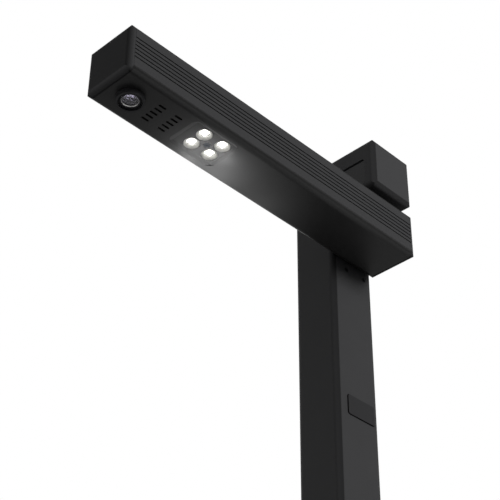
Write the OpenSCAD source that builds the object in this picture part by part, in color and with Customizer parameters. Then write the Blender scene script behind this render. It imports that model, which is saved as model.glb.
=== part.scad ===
// Overhead document scanner: a bar-shaped camera arm hinged to the side of a column,
// with a second camera head over both and a flat weighted base.
// Frame: millimetres, +Z up, the arm points along -Y, X = 0 midway across arm and column,
// origin on the desk under the centre of the bounding box.

/* [Arm] */
// Width of the arm between its side faces
arm_w = 40; // [38:1:46]
// Height of the arm
arm_h = 37; // [35:1:40]
// Length of the arm from its front end to its rear end
arm_l = 271; // [250:1:320]
// Height of the arm's underside above the desk
arm_clearance = 340; // [280:5:400]
// Radius of the long and short outer edges of arm, column and head
edge_r = 4; // [3:0.25:4.5]
// Wall of the aluminium channel that forms the arm's top and sides
channel_t = 2; // [1.8:0.1:2.4]
// Length of each end cap that shows outside the channel
cap_l = 4; // [3.5:0.25:5]
// Thickness of the floor of the arm's underside cover
floor_t = 2.4; // [2.2:0.1:2.8]
// Number of grooves in each side of the channel
groove_count = 6; // [3:1:7]
// Height of one groove
groove_w = 0.9; // [0.6:0.1:1.2]
// Depth of one groove
groove_depth = 0.8; // [0.5:0.1:1]
// Distance from one groove to the next
groove_pitch = 3.12; // [2.4:0.1:3.4]
// Distance from the arm's top to the first groove
groove_drop = 9.9; // [8:0.1:11]

/* [Scan lens] */
// Outer diameter of the lens collar
collar_d = 18.4; // [17:0.1:20]
// How far the lens collar stands out of the underside
collar_proud = 3.6; // [2.5:0.1:5]
// Distance from the arm's front end to the lens axis
lens_y = 19.4; // [18:0.1:22]
// Diameter of the lens barrel
barrel_d = 14; // [12:0.1:14.5]
// Diameter of the front glass
glass_d = 12.6; // [10.5:0.1:12.8]
// Distance from the collar's rim back to the edge of the glass
glass_recess = 2.2; // [1.5:0.1:3]

/* [Slots] */
// Number of slots in each group
slot_count = 5; // [3:1:5]
// Width of one slot
slot_w = 1.5; // [0.8:0.1:1.8]
// Length of one slot
slot_l = 6; // [4:0.2:7]
// Distance from one slot to the next
slot_pitch = 3.96; // [3.2:0.1:4.4]
// Distance from the arm's front end to the middle of the first group
slot_y = 38.6; // [37:0.1:42]
// Distance between the two groups
slot_group_pitch = 13.5; // [11:0.5:16]

/* [Lamps] */
// Distance from the arm's front end to the middle of the four lamps
lamp_y = 83.4; // [80:0.5:100]
// Distance of the lamps' middle from the arm's centre line
lamp_x = 0.9; // [-2:0.1:2]
// Distance between lamps across the arm
lamp_pitch_x = 11.7; // [11.2:0.1:13]
// Distance between lamps along the arm
lamp_pitch_y = 15.8; // [13:0.1:18]
// Diameter of the mouth of a lamp cup
cup_d = 10.6; // [9:0.1:10.8]
// Diameter of a lamp cup at its light chip
cup_inner_d = 8; // [7.4:0.1:8.6]
// Width of one square light chip
chip_w = 4.8; // [4:0.1:5.2]
// Width of the sunk panel around the lamps
panel_w = 23.6; // [23.4:0.1:26]
// Distance from the lamps' middle to the front of the sunk panel
panel_front = 22.4; // [20:0.2:24]
// Distance from the lamps' middle to the back of the sunk panel
panel_back = 14.2; // [13.8:0.2:18]
// Depth of the sunk panel
panel_depth = 1.1; // [0.6:0.1:1.2]
// Radius of the sunk panel's corners
panel_r = 5; // [4:0.5:8]
// Length of the slope at the front of the sunk panel
panel_slope = 3.5; // [2:0.5:5]
// How far the panel's sides and back slope outwards
panel_side_slope = 2.2; // [1:0.2:2.6]

/* [Column] */
// Width of the column across the hinge axis
column_w = 36; // [34:1:42]
// Depth of the column, the same as the head's
column_d = 42; // [41:1:46]
// Wall of the column tube
column_t = 2.2; // [1.8:0.1:2.6]
// Space between the column and the arm beside it
side_gap = 1; // [0.8:0.1:1.4]

/* [Hinge] */
// Diameter of the hollow hinge shaft
shaft_d = 12; // [11:0.5:13]
// Diameter of the cable bore through the shaft
shaft_bore_d = 6; // [5:0.5:7]
// Radial play between the shaft and its bushes
shaft_play = 0.05; // [0.03:0.01:0.09]
// Outer diameter of the bushes
bush_d = 15; // [14:0.5:16]
// Distance of each visible bracket screw from the hinge axis, along the arm
bracket_screw_span = 9.2; // [8:0.1:10]
// Distance of the visible bracket screws below the arm's underside
bracket_screw_drop = 4; // [3:0.1:6]

/* [Button] */
// Width of the button on the column's side
button_w = 26.4; // [22:0.2:28]
// Height of the button
button_h = 14.4; // [12:0.2:18]
// Distance from the arm's underside down to the middle of the button
button_drop = 113.8; // [60:0.5:150]
// Travel of the button
button_travel = 0.8; // [0.4:0.1:1]
// Gap around the button
button_gap = 0.5; // [0.2:0.05:0.6]

/* [Head] */
// Height of the head
head_h = 41.8; // [38:0.2:48]
// Space between the arm's top and the head
head_gap = 7.4; // [7.2:0.1:10]
// Wall of the head
head_t = 2.2; // [2:0.1:2.8]
// Width of the front window
window_w = 60; // [50:0.5:62]
// Height of the front window
window_h = 20.8; // [16:0.2:22]
// Distance from the head's underside to the window's lower edge
window_rise = 6; // [5.5:0.1:9]
// Depth of the window behind the head's face
window_recess = 1; // [0.8:0.1:2]
// Thickness of the window
window_t = 1.2; // [1:0.1:1.6]

/* [Base] */
// Width of the base
base_w = 180; // [150:2:220]
// Depth of the base
base_d = 200; // [170:2:240]
// Height of the base's upper face above the desk
base_h = 14; // [14:0.5:18]
// Radius of the base's corners in plan
base_r = 16; // [10:1:24]
// Radius of the base's upper edge
base_edge_r = 3; // [2:0.25:4]
// Distance from the column's back to the back of the base
base_back = 8; // [6:1:20]
// Wall of the base cover
base_t = 2.2; // [1.8:0.1:2.6]
// Thickness of the steel base plate
plate_t = 3; // [2.5:0.1:3.2]
// Height of the rubber feet under the base plate
foot_h = 2; // [1.5:0.1:2.5]
// Diameter of the rubber feet
foot_d = 18; // [14:1:22]
// Distance from the sides of the base to the middle of each foot
foot_inset = 18; // [16:1:26]

/* [Hidden] */
$fn = 64;

// Overrun of a cut past the face that it opens
over = 1;
// Slip fit between pieces that slide into one another
fit = 0.1;
// Visible seam between two covers
seam = 0.15;
// Radius of a round end, as a share of the whole width
round_end_share = 0.49;

// Places of the main bodies
pair_w = column_w + side_gap + arm_w;
arm_x = (pair_w - arm_w) / 2;
column_x = (column_w - pair_w) / 2;
total_l = arm_l + base_back;
front_y = -total_l / 2;
rear_y = front_y + arm_l;
column_y = rear_y - column_d / 2;
arm_mid_y = front_y + arm_l / 2;
arm_top_z = arm_clearance + arm_h;
hinge_z = arm_clearance + arm_h / 2;
hinge_y = rear_y - arm_h / 2;
head_z = arm_top_z + head_gap;
base_y = total_l / 2 - base_d / 2;
// Faces that look at each other across the side gap
arm_side_x = arm_x - arm_w / 2;
column_side_x = column_x + column_w / 2;
column_inner_x = column_side_x - column_t;
channel_inner_x = arm_side_x + channel_t;

// Base values
plate_z = foot_h;
plate_top_z = foot_h + plate_t;
base_roof_z = base_h - base_t;
base_screw_inset_x = 13;
base_screw_inset_y = 38;
base_screw_w = base_w - 2 * base_screw_inset_x;
base_screw_l = base_d - 2 * base_screw_inset_y;
cover_boss_d = 8;
screw_hole_d = 3.4;
screw_d = 3;
screw_head_d = 5.6;
screw_head_h = 1.7;
flange_t = 5;
foot_flange_w = 64;
foot_flange_d = 52;
foot_core_h = 34;
foot_core_t = 4;
bolt_d = 5;
bolt_head_d = 9;
bolt_head_h = 2.4;
bolt_inset = 6;
post_d = 6;
board_t = 1.6;
io_w = 34;
io_d = 40;
io_x = 36;
post_inset = 4;
usb_w = 9.4;
usb_h = 3.8;
usb_t = 0.4;
usb_l = 9;
usb_tongue_t = 0.8;
usb_tongue_w = 6.4;
usb_tongue_l = 6.6;
post_h = base_roof_z - plate_top_z - board_t - usb_h - 2 * fit;

// Hinge values
bracket_t = 3;
bracket_w = 28;
bracket_edge = 6;
boss_d = 20;
boss_l = 8;
bush_flange_d = 18;
bush_flange_t = 1;
shaft_clear = 0.4;
washer_d = 24;
washer_t = side_gap - 2 * fit;
ring_d = 21;
ring_t = 1;
disc_t = 1.2;
cup_washer_t = 1;
nut_af = 17;
nut_t = 4.5;
shaft_tail = 1;
hub_l = 17;
hub_w = 28;
hub_h = 20;
hub_screw_y = 10;
hub_screw_z = 7;
bracket_screw_rise = 7.4;
bracket_screw_z = [arm_clearance - bracket_screw_drop, hinge_z + bracket_screw_rise + boss_d / 2];

// Screws seen on the column
small_screw_d = 2.5;
small_head_d = 3.4;
small_head_h = 1.2;

// Button values
button_r = 1.6;
button_proud_share = 0.6;
button_proud = side_gap * button_proud_share;
button_flange = 1.2;
button_flange_t = 1.2;
button_z = arm_clearance - button_drop;
plunger_d = 3.4;
plunger_l = 2.4;
plunger_seat = 1.4;
switch_w = 8;
switch_t = 4.2;
switch_bore_play = 0.3;
switch_board_w = 24;
switch_board_h = 30;
bracket_arm_t = 2;

// Head values
plug_gap = 0.1;
plug_h = 14;
plug_screw_z = head_z - plug_h / 2;
plug_screw_x = column_w / 6;
plug_screw_l = 9;
cable_hole_d = 6;
head_screw_span_x = 18;
head_screw_span_y = 16;
rear_rim = 4.4;
rear_cover_t = 2;
rear_ledge_w = 6;
rear_ledge_t = 1.8;
rear_screw_inset = 3.6;
frame_w = 2;
frame_t = 8;
window_r = 2.5;
window_ledge = 2.6;
portrait_d = 9;
portrait_gap = 0.8;
portrait_screw_d = 1.6;
portrait_screw_l = 4.6;
portrait_screw_inset = 1.4;
portrait_screw_head_d = 2.6;
portrait_screw_head_h = 0.8;

// Arm values
seam_z = arm_clearance + edge_r + seam;
tongue_t = 1.4;
tongue_h = 4;
cap_tongue_l = 7;
rail_h = 1.2;
rail_out = 1.6;
main_board_l = 104;
main_board_w = arm_w - 2 * channel_t - 2 * fit;
main_board_rise_share = 0.6;
main_board_gap = 8;
main_board_z = arm_clearance + arm_h * main_board_rise_share;
main_board_y = hinge_y - hub_w / 2 - main_board_gap - main_board_l / 2;
mb_chip_h = 2;

// Lens values
collar_lip = 1.4;
collar_step = 1.2;
collar_wall = 0.9;
collar_body_d = barrel_d + 2 * collar_wall;
collar_inside_l = 1.5;
barrel_l = 13;
glass_t = 1.8;
barrel_lip = 0.6;
holder_w = 17;
holder_h = 9;
holder_bore_l = 6.5;
camera_board_w = 33;
camera_board_l = 30;
camera_post_d = 4.4;
camera_post_inset = 2.6;
camera_post_x = camera_board_w - 2 * camera_post_inset - 2 * tongue_t;
camera_post_y = camera_board_l - 2 * camera_post_inset;
sensor_w = 8;
sensor_t = 1;

// Voice module behind the slots
voice_w = 26;
voice_l = 22;
voice_t = 4;

// Lamp values
reflector_t = 1.5;
reflector_w = 32;
reflector_l = 44;
chip_recess = 1.6;
lamp_board_w = 31;
lamp_board_l = 42;
spreader_t = 2;
fin_h = 5;
fin_t = 1.2;
fin_count = 6;
lamp_screw_d = 2.5;
lamp_screw_head_d = 4.6;
lamp_screw_head_h = 0.9;

// Wires
harness_d = 4;
harness_gap = 0.5;

// A rectangle with round corners, centred, made of true arcs
module round_rect(w, d, r) {
    union() {
        square([w - 2 * r, d], center = true);
        square([w, d - 2 * r], center = true);
        for (sx = [-1, 1], sy = [-1, 1])
            translate([sx * (w / 2 - r), sy * (d / 2 - r)])
                circle(r = r);
    }
}

// A block with every outer edge round, its centre at the origin
module soft_block(w, d, h, r) {
    intersection() {
        translate([0, 0, -h / 2])
            linear_extrude(h)
                round_rect(w, d, r);
        rotate([90, 0, 0])
            translate([0, 0, -d / 2])
                linear_extrude(d)
                    round_rect(w, h, r);
        rotate([90, 0, 90])
            translate([0, 0, -w / 2])
                linear_extrude(w)
                    round_rect(d, h, r);
    }
}

// A plate lying flat, centred in plan, its lower face at the origin
module flat_plate(w, d, h, r) {
    linear_extrude(h)
        round_rect(w, d, r);
}

// A box centred in X and Y with its lower face at the origin
module block(w, d, h) {
    translate([-w / 2, -d / 2, 0])
        cube([w, d, h]);
}

// A rod along X from x0 to x1
module rod_x(x0, x1, d) {
    translate([x0, 0, 0])
        rotate([0, 90, 0])
            cylinder(h = x1 - x0, d = d);
}

// A countersunk screw pointing up, its head's flat face at the origin
module flat_screw(d, head_d, head_h, l) {
    cylinder(h = head_h, d1 = head_d, d2 = d);
    cylinder(h = l, d = d);
}

// A screw with a low round head and a hexagon socket, pointing up from the head's outer face
module socket_screw(d, head_d, head_h, l) {
    difference() {
        union() {
            cylinder(h = head_h, d = head_d);
            cylinder(h = l, d = d);
        }
        translate([0, 0, -over])
            cylinder(h = over + head_h / 2, d = head_d / 2, $fn = 6);
    }
}

// Children at the four corners of a rectangle
module at_corners(w, d) {
    for (sx = [-1, 1], sy = [-1, 1])
        translate([sx * w / 2, sy * d / 2, 0])
            children();
}

// The outer form that the caps, the channel and the underside cover share
module arm_form() {
    translate([arm_x, arm_mid_y, hinge_z])
        soft_block(arm_w, arm_l, arm_h, edge_r);
}

// A slab across the arm from y0 to y1 and from z0 to z1
module arm_slab(y0, y1, z0, z1) {
    translate([arm_side_x - over, y0, z0])
        cube([arm_w + 2 * over, y1 - y0, z1 - z0]);
}

// The hollow of the arm, inside walls of the channel's thickness
module arm_hollow(gap, y0, y1) {
    translate([arm_side_x + channel_t + gap, y0, arm_clearance - over])
        cube([arm_w - 2 * channel_t - 2 * gap, y1 - y0, arm_h + over - channel_t - gap]);
}

// BASE

module base_cover() {
    cover_h = base_h - foot_h;
    color("#2a2a2b")
    difference() {
        union() {
            difference() {
                translate([0, base_y, base_h - base_d / 2])
                    intersection() {
                        translate([0, 0, base_d / 2 - cover_h])
                            flat_plate(base_w, base_d, cover_h, base_r);
                        rotate([90, 0, 0])
                            translate([0, 0, -base_d / 2])
                                linear_extrude(base_d)
                                    round_rect(base_w, base_d, base_edge_r);
                        rotate([90, 0, 90])
                            translate([0, 0, -base_w / 2])
                                linear_extrude(base_w)
                                    round_rect(base_d, base_d, base_edge_r);
                    }
                translate([0, base_y, foot_h - over])
                    flat_plate(base_w - 2 * base_t, base_d - 2 * base_t, base_roof_z - foot_h + over,
                        base_r - base_t);
            }
            translate([0, base_y, plate_top_z])
                at_corners(base_screw_w, base_screw_l)
                    cylinder(h = base_h - base_t / 2 - plate_top_z, d = cover_boss_d);
        }
        translate([0, base_y, plate_top_z - over])
            at_corners(base_screw_w, base_screw_l)
                cylinder(h = base_roof_z - plate_top_z + over, d = screw_d);
        translate([column_x, column_y, base_roof_z - over])
            flat_plate(column_w + 2 * fit, column_d + 2 * fit, base_t + 2 * over, edge_r + fit);
        usb_hole();
    }
}

module base_plate() {
    color("#8d8f92")
    difference() {
        translate([0, base_y, plate_z])
            flat_plate(base_w - 2 * base_t - 2 * fit, base_d - 2 * base_t - 2 * fit, plate_t,
                base_r - base_t - fit);
        translate([0, base_y, plate_z]) {
            at_corners(base_screw_w, base_screw_l) {
                translate([0, 0, -over])
                    cylinder(h = plate_t + 2 * over, d = screw_hole_d);
                cylinder(h = screw_head_h, d1 = screw_head_d, d2 = screw_hole_d);
            }
        }
        translate([column_x, column_y, plate_z])
            at_corners(foot_flange_w - 2 * bolt_inset, foot_flange_d - 2 * bolt_inset) {
                translate([0, 0, -over])
                    cylinder(h = plate_t + 2 * over, d = bolt_d + 2 * fit);
                cylinder(h = bolt_head_h, d1 = bolt_head_d, d2 = bolt_d + 2 * fit);
            }
    }
}

module base_feet() {
    color("#161616")
    translate([0, base_y, 0])
        at_corners(base_w - 2 * foot_inset, base_d - 2 * foot_inset)
            cylinder(h = foot_h, d = foot_d);
}

module base_screws() {
    color("#b5b5b5")
    translate([0, base_y, plate_z])
        at_corners(base_screw_w, base_screw_l)
            flat_screw(screw_d, screw_head_d - 2 * fit, screw_head_h, base_roof_z - plate_z);
}

io_y = base_y + base_d / 2 - base_t - io_d / 2 - fit;
io_z = plate_top_z + post_h;
usb_z = io_z + board_t + usb_h / 2;

module board_posts() {
    color("#c9a53b")
    translate([io_x, io_y, plate_top_z])
        at_corners(io_w - 2 * post_inset, io_d - 2 * post_inset)
            cylinder(h = post_h, d = post_d);
}

module io_board() {
    color("#1f5a35")
    translate([io_x, io_y, io_z])
        block(io_w, io_d, board_t);
}

// The oval section of the socket, as wide and high as asked
module usb_oval(w, h) {
    round_rect(w, h, h * round_end_share);
}

// The hole for the socket in the base's rear wall
module usb_hole() {
    translate([io_x, base_y + base_d / 2 - base_t - over, usb_z])
        rotate([-90, 0, 0])
            linear_extrude(base_t + 2 * over)
                usb_oval(usb_w + 2 * fit, usb_h + 2 * fit);
}

module usb_socket() {
    back_y = base_y + base_d / 2 - base_t / 2;
    color("#a9abad") {
        difference() {
            translate([io_x, back_y, usb_z])
                rotate([90, 0, 0])
                    linear_extrude(usb_l)
                        usb_oval(usb_w, usb_h);
            translate([io_x, back_y + over, usb_z])
                rotate([90, 0, 0])
                    linear_extrude(usb_l - usb_t + over)
                        usb_oval(usb_w - 2 * usb_t, usb_h - 2 * usb_t);
        }
        translate([io_x, back_y - usb_l + usb_t / 2 + usb_tongue_l / 2, usb_z - usb_tongue_t / 2])
            block(usb_tongue_w, usb_tongue_l, usb_tongue_t);
    }
}

// COLUMN

module column_foot() {
    core_w = column_w - 2 * column_t - 2 * fit;
    core_d = column_d - 2 * column_t - 2 * fit;
    color("#77797c")
    difference() {
        translate([column_x, column_y, plate_top_z])
            union() {
                flat_plate(foot_flange_w, foot_flange_d, flange_t, edge_r);
                flat_plate(core_w, core_d, flange_t + foot_core_h, edge_r - column_t / 2);
            }
        translate([column_x, column_y, plate_top_z - over]) {
            flat_plate(core_w - 2 * foot_core_t, core_d - 2 * foot_core_t,
                flange_t + foot_core_h + 2 * over, edge_r / 2);
            at_corners(foot_flange_w - 2 * bolt_inset, foot_flange_d - 2 * bolt_inset)
                cylinder(h = flange_t + 2 * over, d = bolt_d);
        }
        // Way for the wires out of the foot, over the plate
        translate([column_x, hinge_y - harness_d / 2 - harness_gap, plate_top_z - over])
            cube([foot_flange_w, harness_d + 2 * harness_gap, over + harness_d + harness_gap]);
    }
}

module column_foot_bolts() {
    color("#b5b5b5")
    translate([column_x, column_y, plate_z])
        at_corners(foot_flange_w - 2 * bolt_inset, foot_flange_d - 2 * bolt_inset)
            flat_screw(bolt_d, bolt_head_d - 2 * fit, bolt_head_h, plate_t + flange_t);
}

tube_z = plate_top_z + flange_t;
tube_h = head_z - tube_z;

module column_tube() {
    color("#2b2b2c")
    difference() {
        translate([column_x, column_y, tube_z])
            flat_plate(column_w, column_d, tube_h, edge_r);
        translate([column_x, column_y, tube_z - over])
            flat_plate(column_w - 2 * column_t, column_d - 2 * column_t, tube_h + 2 * over,
                edge_r - column_t);
        // Opening for the button
        translate([column_inner_x - over, hinge_y, button_z])
            rotate([90, 0, 90])
                linear_extrude(column_t + 2 * over)
                    round_rect(button_w + 2 * button_gap, button_h + 2 * button_gap,
                        button_r + button_gap);
        // Hole for the hinge shaft
        translate([0, hinge_y, hinge_z])
            rod_x(column_inner_x - over, column_side_x + over, bush_flange_d + 2 * fit);
        // Countersunk holes for the bracket's screws
        for (z = bracket_screw_z, sy = [-1, 1])
            translate([0, hinge_y + sy * bracket_screw_span, z]) {
                rod_x(column_inner_x - over, column_side_x + over, small_screw_d + 2 * fit);
                rod_x(column_side_x - small_head_h, column_side_x + over, small_head_d + 2 * fit);
            }
        // Holes for the screws of the head's plug, in the back
        for (sx = [-1, 1])
            translate([column_x + sx * plug_screw_x, rear_y + over, plug_screw_z])
                rotate([90, 0, 0]) {
                    cylinder(h = column_t + 2 * over, d = small_screw_d + 2 * fit);
                    cylinder(h = over + small_head_h, d = small_head_d + 2 * fit);
                }
    }
}

shaft_end_x = column_inner_x - bracket_t - boss_l - bush_flange_t - ring_t - disc_t
    - 2 * cup_washer_t - nut_t - shaft_tail;
harness_x = shaft_end_x - harness_gap - harness_d / 2;

// The wires run over the base plate and up inside the column, with one branch to the shaft
// and one to the camera board in the head
module column_harness() {
    low_z = plate_top_z + harness_d / 2;
    color("#3a3a3d")
    union() {
        translate([0, hinge_y, low_z])
            rod_x(harness_x, io_x - io_w / 2 - harness_gap / 2, harness_d);
        translate([harness_x, hinge_y, low_z]) {
            sphere(d = harness_d);
            cylinder(h = window_z - low_z, d = harness_d);
        }
        translate([0, hinge_y, hinge_z])
            rod_x(harness_x, shaft_end_x - harness_gap / 2, harness_d);
        translate([harness_x, hinge_y, window_z]) {
            sphere(d = harness_d);
            rotate([90, 0, 0])
                cylinder(h = hinge_y - portrait_board_y - board_t - harness_gap / 2, d = harness_d);
        }
    }
}

// BUTTON

module side_button() {
    color("#363637")
    translate([0, hinge_y, button_z])
        rotate([90, 0, 90])
            union() {
                translate([0, 0, column_inner_x])
                    linear_extrude(column_t + button_proud)
                        round_rect(button_w, button_h, button_r);
                translate([0, 0, column_inner_x - button_flange_t])
                    linear_extrude(button_flange_t)
                        round_rect(button_w + 2 * button_flange, button_h + 2 * button_flange,
                            button_r + button_flange);
            }
}

plunger_x = column_inner_x - button_flange_t;
switch_x = plunger_x - plunger_l;

module switch_plunger() {
    color("#d8d8d4")
    translate([0, hinge_y, button_z])
        rod_x(switch_x - plunger_seat, plunger_x, plunger_d);
}

module switch_case() {
    color("#4a4a4c")
    difference() {
        translate([switch_x - switch_t, hinge_y - switch_w / 2, button_z - switch_w / 2])
            cube([switch_t, switch_w, switch_w]);
        translate([0, hinge_y, button_z])
            rod_x(switch_x - plunger_seat - button_travel - fit, switch_x + over,
                plunger_d + 2 * switch_bore_play);
    }
}

board_x = switch_x - switch_t - board_t;

module switch_board() {
    color("#1f5a35")
    translate([board_x, hinge_y - switch_board_w / 2, button_z - switch_board_h / 2])
        cube([board_t, switch_board_w, switch_board_h]);
}

// A frame that holds the switch board off the column's wall, above and below the button
module switch_bracket() {
    reach = column_inner_x - board_x - board_t;
    color("#4a4a4c")
    for (sz = [-1, 1])
        translate([board_x + board_t, hinge_y - switch_board_w / 2,
            button_z + sz * (switch_board_h / 2 - bracket_arm_t / 2) - bracket_arm_t / 2])
            cube([reach, switch_board_w, bracket_arm_t]);
}

// HINGE

module hinge_bracket() {
    low_z = bracket_screw_z[0] - bracket_edge;
    color("#77797c")
    difference() {
        union() {
            translate([column_inner_x - bracket_t, hinge_y - bracket_w / 2, low_z])
                cube([bracket_t, bracket_w, bracket_screw_z[1] + bracket_edge - low_z]);
            translate([0, hinge_y, hinge_z])
                rod_x(column_inner_x - bracket_t - boss_l, column_inner_x - bracket_t / 2, boss_d);
        }
        translate([0, hinge_y, hinge_z])
            rod_x(column_inner_x - bracket_t - boss_l - over, column_inner_x + over, bush_d);
        for (z = bracket_screw_z, sy = [-1, 1])
            translate([0, hinge_y + sy * bracket_screw_span, z])
                rod_x(column_inner_x - bracket_t - over, column_inner_x + over, small_screw_d);
    }
}

module bracket_screws() {
    color("#1b1b1c")
    for (z = bracket_screw_z, sy = [-1, 1])
        translate([column_side_x - small_head_h / 4, hinge_y + sy * bracket_screw_span, z])
            rotate([0, -90, 0])
                socket_screw(small_screw_d, small_head_d, small_head_h * 3 / 4,
                    column_t + bracket_t - small_head_h / 4);
}

// Two flanged bushes, one from each end of the bracket's boss
module hinge_bushes() {
    bush_l = (bracket_t + boss_l) / 2 - fit;
    bore = shaft_d + 2 * shaft_play;
    color("#b08a4a")
    translate([0, hinge_y, hinge_z]) {
        difference() {
            union() {
                rod_x(column_inner_x - bush_l, column_inner_x, bush_d);
                rod_x(column_inner_x, column_inner_x + bush_flange_t, bush_flange_d);
            }
            rod_x(column_inner_x - bush_l - over, column_inner_x + bush_flange_t + over, bore);
        }
        difference() {
            union() {
                rod_x(column_inner_x - bracket_t - boss_l, column_inner_x - bracket_t - boss_l + bush_l,
                    bush_d);
                rod_x(column_inner_x - bracket_t - boss_l - bush_flange_t,
                    column_inner_x - bracket_t - boss_l, bush_flange_d);
            }
            rod_x(column_inner_x - bracket_t - boss_l - bush_flange_t - over,
                column_inner_x - bracket_t - boss_l + bush_l + over, bore);
        }
    }
}

// Slippery washer that keeps the arm off the column
module side_washer() {
    color("#dcdcd8")
    translate([0, hinge_y, hinge_z])
        difference() {
            rod_x(column_side_x, column_side_x + washer_t, washer_d);
            rod_x(column_side_x - over, column_side_x + washer_t + over, shaft_d + 2 * shaft_clear);
        }
}

ring_x = column_inner_x - bracket_t - boss_l - bush_flange_t;

module friction_ring() {
    color("#9a6a3c")
    translate([0, hinge_y, hinge_z])
        difference() {
            rod_x(ring_x - ring_t, ring_x, ring_d);
            rod_x(ring_x - ring_t - over, ring_x + over, shaft_d + 2 * shaft_clear);
        }
}

module friction_disc() {
    color("#8d8f92")
    translate([0, hinge_y, hinge_z])
        difference() {
            rod_x(ring_x - ring_t - disc_t, ring_x - ring_t, ring_d);
            rod_x(ring_x - ring_t - disc_t - over, ring_x + over, shaft_d);
        }
}

washers_x = ring_x - ring_t - disc_t;

// Two cupped spring washers, rim to rim
module spring_washers() {
    color("#a9abad")
    translate([0, hinge_y, hinge_z])
        difference() {
            union() {
                translate([washers_x - cup_washer_t, 0, 0])
                    rotate([0, 90, 0])
                        cylinder(h = cup_washer_t, d1 = ring_d, d2 = shaft_d + 2 * cup_washer_t);
                translate([washers_x - 2 * cup_washer_t, 0, 0])
                    rotate([0, 90, 0])
                        cylinder(h = cup_washer_t, d1 = shaft_d + 2 * cup_washer_t, d2 = ring_d);
            }
            rod_x(washers_x - 2 * cup_washer_t - over, washers_x + over, shaft_d);
        }
}

module hinge_nut() {
    color("#b5b5b5")
    translate([washers_x - 2 * cup_washer_t - nut_t, hinge_y, hinge_z])
        difference() {
            rotate([0, 90, 0])
                cylinder(h = nut_t, d = nut_af / cos(30), $fn = 6);
            rod_x(-over, nut_t + over, shaft_d);
        }
}

// Hollow steel shaft, fixed in the arm's hub
module hinge_shaft() {
    color("#a9abad")
    translate([0, hinge_y, hinge_z])
        difference() {
            rod_x(shaft_end_x, channel_inner_x + hub_l, shaft_d);
            rod_x(shaft_end_x - over, channel_inner_x + hub_l + over, shaft_bore_d);
        }
}

module hinge_hub() {
    color("#77797c")
    difference() {
        translate([channel_inner_x, hinge_y - hub_w / 2, hinge_z - hub_h / 2])
            cube([hub_l, hub_w, hub_h]);
        translate([0, hinge_y, hinge_z])
            rod_x(channel_inner_x - over, channel_inner_x + hub_l + over, shaft_d);
        for (sy = [-1, 1], sz = [-1, 1])
            translate([0, hinge_y + sy * hub_screw_y, hinge_z + sz * hub_screw_z])
                rod_x(channel_inner_x - over, channel_inner_x + hub_l / 2, screw_d);
    }
}

module hub_screws() {
    color("#b5b5b5")
    for (sy = [-1, 1], sz = [-1, 1])
        translate([arm_side_x, hinge_y + sy * hub_screw_y, hinge_z + sz * hub_screw_z])
            rotate([0, 90, 0])
                flat_screw(screw_d, screw_head_d - 2 * fit, screw_head_h, channel_t + hub_l / 2);
}

// HEAD

module head_plug() {
    plug_w = column_w - 2 * column_t - bracket_t - 2 * plug_gap;
    plug_d = column_d - 2 * column_t - 2 * plug_gap;
    plug_x = column_x - bracket_t / 2;
    color("#77797c")
    difference() {
        translate([plug_x, column_y, head_z - plug_h])
            flat_plate(plug_w, plug_d, plug_h, edge_r - column_t / 2);
        translate([harness_x, hinge_y, head_z - plug_h - over])
            cylinder(h = plug_h + 2 * over, d = cable_hole_d);
        translate([column_x, column_y, head_z - plug_h / 2])
            at_corners(head_screw_span_x, head_screw_span_y)
                cylinder(h = plug_h / 2 + over, d = screw_d);
        for (sx = [-1, 1])
            translate([column_x + sx * plug_screw_x, rear_y, plug_screw_z])
                rotate([90, 0, 0])
                    cylinder(h = column_t + plug_screw_l, d = small_screw_d);
    }
}

module head_plug_screws() {
    color("#1b1b1c")
    for (sx = [-1, 1])
        translate([column_x + sx * plug_screw_x, rear_y, plug_screw_z])
            rotate([90, 0, 0])
                socket_screw(small_screw_d, small_head_d, small_head_h, column_t + plug_screw_l);
}

head_mid_z = head_z + head_h / 2;
head_front_y = rear_y - column_d;
window_z = head_z + window_rise + window_h / 2;
window_y = head_front_y + window_recess;
frame_back_y = window_y + window_t + frame_t - head_t / 2;

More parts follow.
